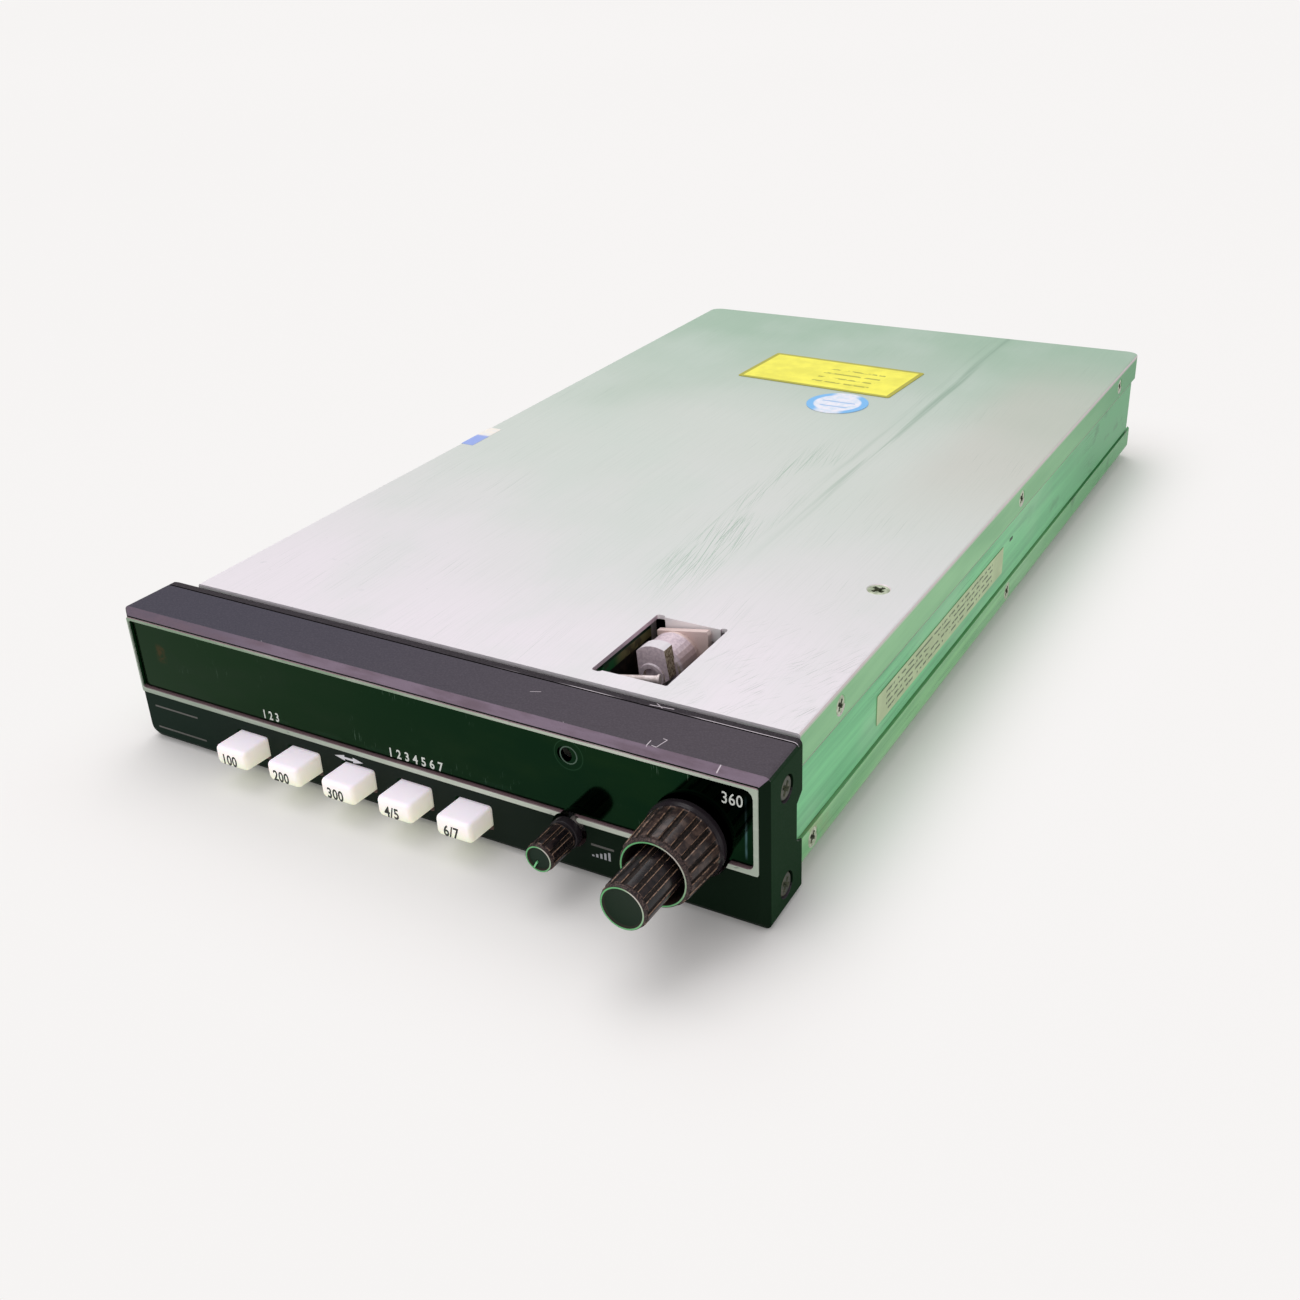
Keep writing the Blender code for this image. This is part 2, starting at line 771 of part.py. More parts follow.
plan = rounded(CHASSIS_L - 0.01, 0.0, CHASSIS_R + 0.01, CHASSIS_REAR, (0, 0, REAR_CORNER, REAR_CORNER), 5)
wx0, wy0, wx1, wy1 = LATCH_WINDOW
WINDOW_RELIEFS = (
    (wx0, wy0 - 0.65, wx0 + 2.2, wy0 + 1.6),
    (wx0, wy1 - 2.0, WINDOW_TAB[0], wy1 + 0.75),
    (WINDOW_TAB[1], wy1 - 2.0, wx1, wy1 + 0.75),
)
top_cover = add(
    "top_cover",
    prism_y(u_outline(UPPER_FLANGE_Z, CHASSIS_TOP, 0.7), BEZEL_D + GAP, CHASSIS_REAR + 0.5),
    SHEET_METAL,
)
boolean(top_cover, "INTERSECT", "plan_top", joined(prism_z(plan, 20.0, 40.0)))
cut(
    top_cover,
    "top_openings",
    prism_z(rounded(*LATCH_WINDOW, (0.3, 0.3, 1.0, 0.6), 3), 30.0, 35.0),
    turned(
        [
            (0, 30.0),
            (1.45, 30.0),
            (1.45, CHASSIS_TOP - 0.85),
            (2.75, CHASSIS_TOP + 0.05),
            (2.75, 35.0),
            (0, 35.0),
        ],
        (*TOP_SCREW, 0),
        "Z",
        28,
    ),
    *[countersink(CHASSIS_R, side, y, UPPER_SCREW_Z) for side in (1, -1) for y in UPPER_SCREWS],
)
relief_tools = [prism_z(rounded(*relief, 0.7, 3), 31.0, 34.5) for relief in WINDOW_RELIEFS]
cut(top_cover, "window_reliefs", *relief_tools)
tab_x0 = WINDOW_TAB[0] + 0.05
tab_x1 = WINDOW_TAB[1] - 0.05
window_tab = block(tab_x0, wy1 + 0.02, CHASSIS_TOP - TAB_DEPTH, tab_x1, wy1 + SHEET, CHASSIS_TOP - 0.3)
unite(top_cover, "window_tab", window_tab)
bottom_cover = add(
    "bottom_cover",
    prism_y(u_outline(LOWER_FLANGE_Z, CHASSIS_BOTTOM, 1.9), BEZEL_D + GAP, CHASSIS_REAR + 0.5),
    SHEET_METAL,
)
boolean(bottom_cover, "INTERSECT", "plan_bottom", joined(prism_z(plan, -2.0, 20.0)))
cut(
    bottom_cover,
    "bottom_openings",
    *[countersink(CHASSIS_R, side, y, LOWER_SCREW_Z) for side in (1, -1) for y in LOWER_SCREWS],
)

# ---------------------------------------------------------------- rear panel and connectors
inset = SHEET + GAP
rear_x0 = CHASSIS_L + inset
rear_x1 = CHASSIS_R - inset
rear_y0 = RAIL_Y1 + GAP
rear_y1 = CHASSIS_REAR - 0.5
rear_panel = add(
    "rear_panel",
    prism_z(rounded(rear_x0, rear_y0, rear_x1, rear_y1, (0, 0, 3.4, 3.4), 5), 4.3, 32.1),
    SHEET_METAL,
)
inside = rounded(rear_x0 + 1.2, rear_y0 - 2.0, rear_x1 - 1.2, rear_y1 - 1.2, (0, 0, 2.2, 2.2), 5)
cut(rear_panel, "rear_inside", prism_z(inside, 0.0, 36.0))
AERIAL = (56.0, 18.0)
cut(
    rear_panel,
    "rear_holes",
    prism_y(rounded(-41.0, 5.6, 21.0, 15.4, 0.5), 255.0, 280.0),
    prism_y(circle(*AERIAL, 5.1, 32), 255.0, 280.0),
)
rear_connector = add(
    "rear_connector",
    prism_y(rounded(-40.5, 6.1, 20.5, 14.9, 0.6, 2), 257.0, 270.5),
    CONTACT,
    smooth=0,
)
unite(rear_connector, "edge_tongue", block(-38.0, 269.5, 9.7, 18.0, REAR_END, 11.3))
aerial_axis = (AERIAL[0], 0, AERIAL[1])
add(
    "aerial_connector",
    turned(
        [
            (0, 256.0),
            (6.2, 256.0),
            (6.2, rear_y1 - 1.6),
            (4.7, rear_y1 - 1.6),
            (4.7, 275.6),
            (3.6, 275.6),
            (3.6, 269.6),
            (0.6, 269.6),
            (0.6, 274.6),
            (0, 274.6),
        ],
        aerial_axis,
        "Y",
        24,
    ),
    BRASS,
)

# ---------------------------------------------------------------- locking paw
axis_point = (LATCH_X, 39.0, LATCH_Z)
latch_empty = empty("latch_axis", axis_point)


def at_latch(points):
    return [(LATCH_X + u, LATCH_Z + v) for u, v in points]


def arc(radius, start, end, count):
    return [
        (
            radius * math.cos(math.radians(start + (end - start) * i / count)),
            radius * math.sin(math.radians(start + (end - start) * i / count)),
        )
        for i in range(count + 1)
    ]


lobe_top = [(3.05, 6.5), (2.2, 6.8), (1.1, 6.95), (0.0, 6.9), (-1.2, 6.65), (-2.4, 6.05), (-3.5, 5.1)]
front_lobe = at_latch([(4.1, 0.2)] + lobe_top + arc(3.1, 184, 345, 9))
paw = add(
    "latch_paw",
    prism_y(front_lobe, 33.4, 36.6),
    CAST,
    pivot=axis_point,
    parent=latch_empty,
)
unite(
    paw,
    "barrel",
    turned(
        [(0, 36.2), (4.7, 36.2), (5.4, 37.2), (5.5, 43.0), (5.1, 43.1), (5.1, 44.6), (0, 44.6)],
        (LATCH_X, 0, LATCH_Z),
        "Y",
        32,
    ),
)
rear_lobe = at_latch(
    [(-4.9, 4.4), (-4.8, 3.2), (-3.2, 3.5), (-4.3, 2.6)]
    + arc(5.0, 160, 335, 10)
    + [(6.6, -1.0), (7.3, 1.0), (7.3, 5.7), (6.9, 6.5)]
)
unite(paw, "rear_lobe", prism_y(rear_lobe, 44.3, 45.7))
unite(
    paw,
    "socket_ring",
    turned([(0, 33.05), (2.8, 33.05), (3.0, 33.25), (3.0, 33.8), (0, 33.8)], (LATCH_X, 0, LATCH_Z), "Y", 28),
)
cut(
    paw,
    "paw_bores",
    prism_y(circle(LATCH_X, LATCH_Z, 1.9, 28), 31.0, 34.0),
    prism_y(circle(LATCH_X, LATCH_Z, 1.4, 6), 33.5, 36.6),
    prism_y(circle(LATCH_X, LATCH_Z, 2.15, 28), 38.0, 47.0),
)
add(
    "latch_shaft",
    turned([(0, 38.3), (2.0, 38.3), (2.0, 51.6), (1.7, 52.0), (0, 52.0)], (LATCH_X, 0, LATCH_Z), "Y", 28),
    PIN_STEEL,
    pivot=axis_point,
    parent=latch_empty,
)
bracket = add(
    "latch_bracket",
    prism_x([(21.5, 12.4), (49.2, 12.4), (49.2, 13.8), (21.5, 13.8)], 27.8, 45.6),
    SHEET_METAL,
    smooth=0,
)
unite(bracket, "bracket_wall", block(33.0, 47.7, 13.0, 45.6, 49.2, 31.8))
unite(bracket, "bracket_cheek", block(27.8, 21.5, 13.0, 29.3, 49.2, 31.8))
cut(
    bracket,
    "bracket_bores",
    prism_y(circle(LATCH_X, LATCH_Z, 2.15, 28), 46.0, 51.0),
    turned([(0, 26.5), (1.25, 26.5), (1.25, 30.5), (0, 30.5)], (0, 26.0, 30.4), "X", 24),
)
add(
    "latch_cross_pin",
    turned(
        [(0, 27.0), (1.1, 27.0), (1.1, 42.3), (0.9, 42.6), (0, 42.6)],
        (0, 26.0, 30.4),
        "X",
        24,
    ),
    PIN_STEEL,
)

# ---------------------------------------------------------------- inside the chassis
main_board = add("main_board", block(-66.5, 27.0, 8.2, 72.5, 254.0, 9.8), BOARD, smooth=0)
shield = add("rf_shield", block(-60.0, 70.0, 10.1, 5.0, 150.0, 26.0), CAN, smooth=0)
cut(shield, "shield_inside", block(-59.2, 70.8, 9.0, 4.2, 149.2, 25.2))
add(
    "power_transformer",
    prism_z(rounded(34.0, 196.0, 62.0, 224.0, 4.0, 3), 10.1, 29.5),
    WINDING,
)
add(
    "filter_capacitor",
    turned([(0, 14.0), (7.2, 14.0), (7.6, 14.5), (7.6, 46.0), (0, 46.0)], (0, 166.0, 17.9), "X", 28),
    SLEEVE,
)

# ---------------------------------------------------------------- labels
label_centre = Vector((-1.7, 212.0))
tilt = math.radians(-3.2)
label_plan = rounded(-25.4, -13.0, 25.4, 13.0, 0.8)
label = [tuple(label_centre + Matrix.Rotation(tilt, 2) @ Vector(point)) for point in label_plan]
LIFT = 0.05
add("data_label", prism_z(label, CHASSIS_TOP + LIFT, CHASSIS_TOP + LIFT + 0.12), YELLOW, smooth=0)
add(
    "round_sticker",
    prism_z(circle(11.1, 187.6, 9.0, 36), CHASSIS_TOP + LIFT, CHASSIS_TOP + LIFT + 0.1),
    STICKER,
    smooth=0,
)
band_face = CHASSIS_R - SHEET - GAP + 0.8
add(
    "side_label",
    prism_x(rounded(54.5, 14.0, 136.6, 21.0, 0.3), band_face + LIFT, band_face + LIFT + 0.12),
    PAPER,
    smooth=0,
)


# ---------------------------------------------------------------- screws
def screw(name, centre, axis, face, inward, head_r, head_h, shank_r, length, flat=True):
    """Countersunk or pan screw: face is the head's outer plane, inward the driving direction."""
    if flat:
        profile = [
            (0, face),
            (head_r, face),
            (shank_r + 0.1, face + inward * head_h),
            (shank_r, face + inward * (head_h + 0.2)),
            (shank_r, face + inward * length),
            (0, face + inward * length),
        ]
    else:
        profile = [
            (0, face),
            (head_r - 0.35, face),
            (head_r, face + inward * 0.35),
            (head_r, face + inward * head_h),
            (shank_r, face + inward * head_h),
            (shank_r, face + inward * length),
            (0, face + inward * length),
        ]
    pivot = {"X": (face, centre[1], centre[2]), "Z": (centre[0], centre[1], face)}[axis]
    obj = add(name, turned(profile, centre, axis, 16), STEEL, pivot=pivot)
    depth = 0.45
    arm = head_r * 0.62
    half = head_r * 0.13
    cross = [(arm, half), (half, half), (half, arm), (-half, arm), (-half, half), (-arm, half),
             (-arm, -half), (-half, -half), (-half, -arm), (half, -arm), (half, -half), (arm, -half)]
    low, high = sorted((face - inward * 0.5, face + inward * depth))
    if axis == "X":
        tool = prism_x([(centre[1] + u, centre[2] + v) for u, v in cross], low, high)
    else:
        tool = prism_z([(centre[0] + u, centre[1] + v) for u, v in cross], low, high)
    cut(obj, name + "_recess", tool)
    return obj


for side, word in ((1, "right"), (-1, "left")):
    for number, z in enumerate(END_SCREW_Z, 1):
        name = f"bezel_screw_{word}_{number}"
        screw(name, (0, END_SCREW_Y, z), "X", 78.95 * side, -side, 2.4, 0.75, 1.05, 4.6, flat=False)
    for number, y in enumerate(UPPER_SCREWS, 1):
        face = mirrored(CHASSIS_R - 0.08, side)
        screw(f"upper_screw_{word}_{number}", (0, y, UPPER_SCREW_Z), "X", face, -side, 2.08, 0.86, 1.0, 5.0)
    for number, y in enumerate(LOWER_SCREWS, 1):
        face = mirrored(CHASSIS_R - 0.08, side)
        screw(f"lower_screw_{word}_{number}", (0, y, LOWER_SCREW_Z), "X", face, -side, 2.08, 0.86, 1.0, 5.0)
screw("cover_screw", (*TOP_SCREW, 0), "Z", CHASSIS_TOP - 0.06, -1, 2.6, 0.9, 1.1, 6.0)
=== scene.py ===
"""Looks of a panel-mounted aircraft radio receiver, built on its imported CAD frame."""

import math

import bmesh
import bpy
from mathutils import Matrix, Vector


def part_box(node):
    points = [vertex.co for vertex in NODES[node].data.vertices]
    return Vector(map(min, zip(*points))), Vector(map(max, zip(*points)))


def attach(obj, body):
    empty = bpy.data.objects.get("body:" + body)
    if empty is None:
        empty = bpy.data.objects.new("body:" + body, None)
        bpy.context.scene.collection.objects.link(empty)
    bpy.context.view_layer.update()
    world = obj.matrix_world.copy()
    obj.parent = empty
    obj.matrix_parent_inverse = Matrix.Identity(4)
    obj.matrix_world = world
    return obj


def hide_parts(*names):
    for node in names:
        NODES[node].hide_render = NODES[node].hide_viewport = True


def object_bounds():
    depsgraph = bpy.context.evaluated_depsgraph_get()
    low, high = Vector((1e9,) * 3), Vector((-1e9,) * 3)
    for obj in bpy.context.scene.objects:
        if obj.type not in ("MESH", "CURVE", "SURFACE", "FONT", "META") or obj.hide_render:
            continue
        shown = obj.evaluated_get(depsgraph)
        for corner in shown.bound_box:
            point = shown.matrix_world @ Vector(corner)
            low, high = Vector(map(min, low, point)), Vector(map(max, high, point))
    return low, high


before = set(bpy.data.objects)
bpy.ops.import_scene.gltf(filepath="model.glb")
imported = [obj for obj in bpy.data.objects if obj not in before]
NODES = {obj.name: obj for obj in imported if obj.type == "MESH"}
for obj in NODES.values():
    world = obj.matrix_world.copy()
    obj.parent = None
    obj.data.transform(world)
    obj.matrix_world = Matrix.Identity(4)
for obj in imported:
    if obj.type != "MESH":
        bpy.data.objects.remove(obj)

CAD_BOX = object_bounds()
MM = 0.001
FACE_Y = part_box("bezel")[0].y
RECEIVER = "receiver"


# ---------------------------------------------------------------- places and colours
def at(x, y, z):
    """A point given in mm from the middle of the bezel's lower front edge, in the frame's metres."""
    return Vector((x * MM, FACE_Y + y * MM, z * MM))


def box_mm(node):
    """(lowest, highest) corner of a CAD node in mm from the middle of the bezel's lower front edge."""
    low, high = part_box(node)
    shift = Vector((0, FACE_Y, 0))
    return (low - shift) / MM, (high - shift) / MM


def centre_mm(node):
    low, high = box_mm(node)
    return (low + high) / 2


def tone(red, green, blue):
    """Linear colour of a tone given as the 0 to 255 values of a picture."""
    def linear(value):
        share = value / 255
        return share / 12.92 if share <= 0.04045 else ((share + 0.055) / 1.055) ** 2.4
    return (linear(red), linear(green), linear(blue), 1.0)


# ---------------------------------------------------------------- procedural materials
class Surface:
    """A Principled material whose patterns are laid out in mm from the bezel's lower front edge."""

    def __init__(self, name, roughness=0.5, metallic=0.0, colour=(0.5, 0.5, 0.5, 1.0), **sockets):
        self.material = bpy.data.materials.new(name)
        self.material.use_nodes = True
        self.tree = self.material.node_tree
        self.shader = self.tree.nodes["Principled BSDF"]
        self.shader.inputs["Base Color"].default_value = colour
        self.shader.inputs["Roughness"].default_value = roughness
        self.shader.inputs["Metallic"].default_value = metallic
        for label, value in sockets.items():
            self.shader.inputs[label.replace("_", " ")].default_value = value
        metres = self.tree.nodes.new("ShaderNodeTexCoord").outputs["Object"]
        moved = self.vector("SUBTRACT", metres, (0, FACE_Y, 0))
        self.mm = self.vector("SCALE", moved, scale=1 / MM)
        parts = self.tree.nodes.new("ShaderNodeSeparateXYZ")
        self.tree.links.new(self.mm, parts.inputs[0])
        self.x, self.y, self.z = parts.outputs
        facing = self.tree.nodes.new("ShaderNodeSeparateXYZ")
        normal = self.tree.nodes.new("ShaderNodeNewGeometry").outputs["True Normal"]
        turned = self.tree.nodes.new("ShaderNodeVectorTransform")
        turned.vector_type = "NORMAL"
        turned.convert_from = "WORLD"
        turned.convert_to = "OBJECT"
        self.tree.links.new(normal, turned.inputs[0])
        self.tree.links.new(turned.outputs[0], facing.inputs[0])
        self.face_x, self.face_y, self.face_z = facing.outputs

    def feed(self, socket, value):
        if isinstance(value, bpy.types.NodeSocket):
            self.tree.links.new(value, socket)
        else:
            socket.default_value = value

    def vector(self, operation, first, second=(0, 0, 0), scale=1.0):
        node = self.tree.nodes.new("ShaderNodeVectorMath")
        node.operation = operation
        self.feed(node.inputs[0], first)
        if operation == "SCALE":
            self.feed(node.inputs["Scale"], scale)
        else:
            self.feed(node.inputs[1], second)
        return node.outputs["Value" if operation == "LENGTH" else "Vector"]

    def maths(self, operation, first, second=0.0):
        node = self.tree.nodes.new("ShaderNodeMath")
        node.operation = operation
        self.feed(node.inputs[0], first)
        self.feed(node.inputs[1], second)
        return node.outputs[0]

    def plus(self, first, second):
        return self.maths("ADD", first, second)

    def minus(self, first, second):
        return self.maths("SUBTRACT", first, second)

    def absolute(self, value):
        return self.maths("ABSOLUTE", value)

    def times(self, *values):
        result = values[0]
        for value in values[1:]:
            result = self.maths("MULTIPLY", result, value)
        return result

    def either(self, *values):
        result = values[0]
        for value in values[1:]:
            result = self.maths("MAXIMUM", result, value)
        return result

    def rise(self, value, low, high):
        """0 below low, 1 above high, smooth between; it falls where high is the lower one."""
        node = self.tree.nodes.new("ShaderNodeMapRange")
        node.interpolation_type = "SMOOTHSTEP"
        self.feed(node.inputs["Value"], value)
        if low < high:
            ends = (low, high, 0.0, 1.0)
        else:
            ends = (high, low, 1.0, 0.0)
        for label, end in zip(("From Min", "From Max", "To Min", "To Max"), ends):
            node.inputs[label].default_value = end
        return node.outputs["Result"]

    def band(self, value, low, high, soft=0.1):
        """1 from low to high and 0 outside, with soft ends."""
        rising = self.rise(value, low - soft, low + soft)
        falling = self.rise(value, high + soft, high - soft)
        return self.times(rising, falling)

    def noise(self, size, stretch=(1, 1, 1), detail=3.0, rough=0.55, seed=0.0, turn=(0, 0, 0)):
        """Noise of that size in mm, drawn out along each axis by stretch after a turn in degrees."""
        mapping = self.tree.nodes.new("ShaderNodeMapping")
        mapping.vector_type = "TEXTURE"
        self.tree.links.new(self.mm, mapping.inputs["Vector"])
        mapping.inputs["Rotation"].default_value = [math.radians(angle) for angle in turn]
        mapping.inputs["Scale"].default_value = [size * factor for factor in stretch]
        moved = self.vector("ADD", mapping.outputs[0], (seed * 7.3, seed * 3.1, seed * 5.7))
        node = self.tree.nodes.new("ShaderNodeTexNoise")
        node.inputs["Scale"].default_value = 1.0
        node.inputs["Detail"].default_value = detail
        node.inputs["Roughness"].default_value = rough
        self.tree.links.new(moved, node.inputs["Vector"])
        return node.outputs["Fac"]

    def scratches(self, width, length, along="y", amount=0.5, seed=0.0, lean=0.0):
        """Thin lines of that width and length in mm. A higher amount gives more of them."""
        ratio = length / width
        stretch = {"x": (ratio, 1, 1), "y": (1, ratio, 1), "z": (1, 1, ratio)}[along]
        lines = self.noise(width, stretch, 1.0, 0.4, seed, (0, 0, lean))
        low = 0.74 - 0.16 * amount
        return self.rise(lines, low, low + 0.05)

    def line(self, start, end, width):
        """1 on a straight mark from start to end, (x, y) points in mm, seen from above."""
        length = math.dist(start, end)
        ux, uy = (end[0] - start[0]) / length, (end[1] - start[1]) / length
        dx = self.minus(self.x, start[0])
        dy = self.minus(self.y, start[1])
        along = self.plus(self.times(dx, ux), self.times(dy, uy))
        aside = self.absolute(self.minus(self.times(dx, uy), self.times(dy, ux)))
        return self.times(self.rise(aside, width, width * 0.5), self.band(along, 0.0, length, 0.08))

    def radius(self, x, z):
        """Distance in mm from the line along Y through that x and z."""
        across = self.maths("POWER", self.minus(self.x, x), 2.0)
        upward = self.maths("POWER", self.minus(self.z, z), 2.0)
        return self.maths("SQRT", self.plus(across, upward))

    def mix(self, amount, first, second):
        """Blends two colours, each a socket, a linear colour or three 0 to 255 values."""
        node = self.tree.nodes.new("ShaderNodeMix")
        node.data_type = "RGBA"
        self.feed(node.inputs["Factor"], amount)
        for index, colour in ((6, first), (7, second)):
            if isinstance(colour, tuple) and len(colour) == 3:
                colour = tone(*colour)
            self.feed(node.inputs[index], colour)
        return node.outputs[2]

    def over(self, colour, tint, *amounts):
        """Lays a tint, given as 0 to 255 values, over the colour by the product of the amounts."""
        return self.mix(self.times(*amounts), colour, tint)

    def number(self, amount, first, second):
        node = self.tree.nodes.new("ShaderNodeMapRange")
        self.feed(node.inputs["Value"], amount)
        node.inputs["To Min"].default_value = first
        node.inputs["To Max"].default_value = second
        return node.outputs["Result"]

    def paint(self, colour=None, roughness=None, height=None, depth=0.02):
        """Connects the patterns. The height is a 0 to 1 pattern, and depth is its relief in mm."""
        if colour is not None:
            self.feed(self.shader.inputs["Base Color"], colour)
        if roughness is not None:
            self.feed(self.shader.inputs["Roughness"], roughness)
        if height is not None:
            bump = self.tree.nodes.new("ShaderNodeBump")
            bump.inputs["Strength"].default_value = 1.0
            bump.inputs["Distance"].default_value = depth * MM
            self.feed(bump.inputs["Height"], height)
            self.tree.links.new(bump.outputs[0], self.shader.inputs["Normal"])
        return self.material


def cover_metal():
    """Top cover: satin aluminium, with a painted reflection that is lilac-white near the bezel and grey-green
    towards the rear.
    """
    s = Surface("cover_metal", roughness=0.42, metallic=0.25)
    # painted reflection: lilac-white near the bezel turning grey-green towards the rear
    along = s.plus(s.y, s.maths("MULTIPLY", s.noise(60, detail=2), 80))
    colour = s.mix(s.rise(along, 50, 190), (236, 229, 236), (212, 218, 212))
    colour = s.over(colour, (162, 192, 170), s.rise(along, 180, 310))
    cloud = s.rise(s.noise(34, (1, 1.6, 1), 4, seed=2), 0.42, 0.75)
    colour = s.over(colour, (206, 218, 210), cloud, 0.35)
    grain = s.noise(0.4, (1, 60, 1), 2, seed=5)
    colour = s.over(colour, (150, 172, 158), s.rise(grain, 0.4, 0.8), 0.07)
    middle = s.plus(s.x, s.maths("MULTIPLY", s.noise(40, detail=1, seed=7), 2))
    warm = s.times(s.rise(s.x, 42, 60), s.band(s.y, 130, 235, 30))
    colour = s.over(colour, (206, 200, 192), warm, 0.45)
    drag = s.rise(s.noise(1.2, (1, 50, 1), 3, seed=9), 0.36, 0.6)
    deep_rub = s.band(middle, 36.4, 38.6, 0.8)
    light_rub = s.times(s.band(middle, 33, 34, 0.8), 0.5)
    smear = s.times(s.either(deep_rub, light_rub), drag)
    colour = s.over(colour, (126, 160, 138), smear, s.rise(s.y, 60, 190), 0.6)
    bundle = s.times(s.band(middle, 20, 33, 3), s.band(s.y, 62, 150, 16))
    long_lines = s.scratches(0.2, 40, "y", 0.85, 5, 5)
    short_lines = s.scratches(0.12, 26, "y", 0.8, 6, 12)
    drawn = s.either(long_lines, short_lines)
    drawn = s.times(drawn, s.rise(s.noise(14, (1, 3, 1), 2, seed=12), 0.42, 0.58))
    colour = s.over(colour, (112, 160, 130), bundle, drawn, 0.55)
    fine = s.scratches(0.14, 24, "y", 0.4, 3, 4)
    fine = s.times(fine, s.rise(s.noise(34, detail=1, seed=4), 0.5, 0.66))
    colour = s.over(colour, (130, 156, 140), fine, 0.28)
    corner = s.times(
        s.rise(s.x, 36, 60), s.rise(s.y, 80, 26), s.rise(s.noise(9, detail=2, seed=31), 0.44, 0.6)
    )
    steep = s.scratches(0.13, 12, "y", 0.5, 8, -20)
    crossing = s.times(s.either(steep, s.scratches(0.1, 7, "y", 0.35, 12, -42)), corner)
    colour = s.over(colour, (128, 146, 134), crossing, 0.55)
    smudge = s.rise(s.noise(6, (1.6, 1, 1), 3, seed=21), 0.66, 0.76)
    smudge = s.times(smudge, s.rise(s.x, -10, -40), s.rise(s.y, 70, 30))
    colour = s.over(colour, (150, 164, 168), smudge, 0.3)
    specks = s.rise(s.noise(0.6, detail=2, seed=14), 0.74, 0.8)
    colour = s.over(colour, (120, 138, 120), specks, 0.35)
    outside = s.rise(s.absolute(s.x), 64, 68)
    upright = s.times(s.rise(s.absolute(s.face_x), 0.4, 0.7), outside)
    # painted green reflection of the surroundings on the upright side flanges, deeper green towards the rear
    flange = s.mix(s.rise(s.noise(7, (1, 8, 1), 3, seed=6), 0.3, 0.7), (120, 182, 128), (142, 200, 146))
    flange = s.mix(s.rise(s.y, 150, 262), flange, (70, 150, 92))
    colour = s.mix(upright, colour, flange)
    # painted highlight on the upward-facing bends of the flanges
    edge = s.times(s.band(s.face_z, 0.25, 0.85, 0.1), outside)
    colour = s.over(colour, (232, 206, 218), edge, 0.8)
    inner_edge = s.times(s.rise(s.absolute(s.face_x), 0.5, 0.8), s.minus(1, outside))
    colour = s.over(colour, (196, 176, 188), inner_edge)
    # painted light: the window's front-facing rear wall is painted near-white as if brightly lit
    lit_rear_wall = s.times(s.rise(s.face_y, -0.4, -0.7), s.rise(s.y, 40, 44), s.rise(s.y, 50, 48))
    colour = s.over(colour, (255, 252, 255), lit_rear_wall)
    height = s.plus(s.times(grain, 0.2), s.times(s.either(fine, crossing), -1))
    return s.paint(colour, s.number(grain, 0.36, 0.5), height, 0.005)


def side_metal(name, low_tone, high_tone, seed, tarnished=0):
    """Folded side walls: satin metal painted green as a reflection of green surroundings, with soft clouds
    and a few dark lengthwise hairlines.
    """
    s = Surface(name, roughness=0.4, metallic=0.2)
    streak = s.noise(2.2, (1, 30, 1), 4, seed=seed)
    # the low and high tones are a painted green reflection of the surroundings
    colour = s.mix(s.rise(streak, 0.25, 0.8), low_tone, high_tone)
    cloud = s.rise(s.noise(15, (1, 2.2, 1), 3, seed=seed + 1), 0.45, 0.8)
    colour = s.over(colour, (168, 206, 172), cloud, 0.35)
    # painted reflection turning deeper green towards the rear
    colour = s.over(colour, (54, 146, 84), s.rise(s.y, 120, 265), 0.75)
    blot = s.times(s.rise(s.noise(7, (1, 2, 1), 3, seed=seed + 5), 0.56, 0.7), s.rise(s.y, 130, 220))
    colour = s.over(colour, (34, 92, 56), blot, 0.5)
    dark = s.times(
        s.scratches(0.12, 22, "y", 0.6, seed + 3), s.rise(s.noise(25, detail=1, seed=seed), 0.4, 0.6)
    )
    colour = s.over(colour, (40, 96, 60), dark, 0.5)
    # painted highlight on the sloping bends
    edge = s.band(s.absolute(s.face_z), 0.3, 0.9, 0.08)
    colour = s.over(colour, (206, 196, 190), edge, 0.7)
    if tarnished:
        stain = s.times(
            s.rise(s.y, 34, 17), s.rise(s.z, 12, 8), s.rise(s.noise(5, detail=3, seed=2), 0.4, 0.6)
        )
        colour = s.over(colour, (176, 150, 112), stain, tarnished)
    return s.paint(colour, s.number(streak, 0.32, 0.5), s.times(dark, -1), 0.008)


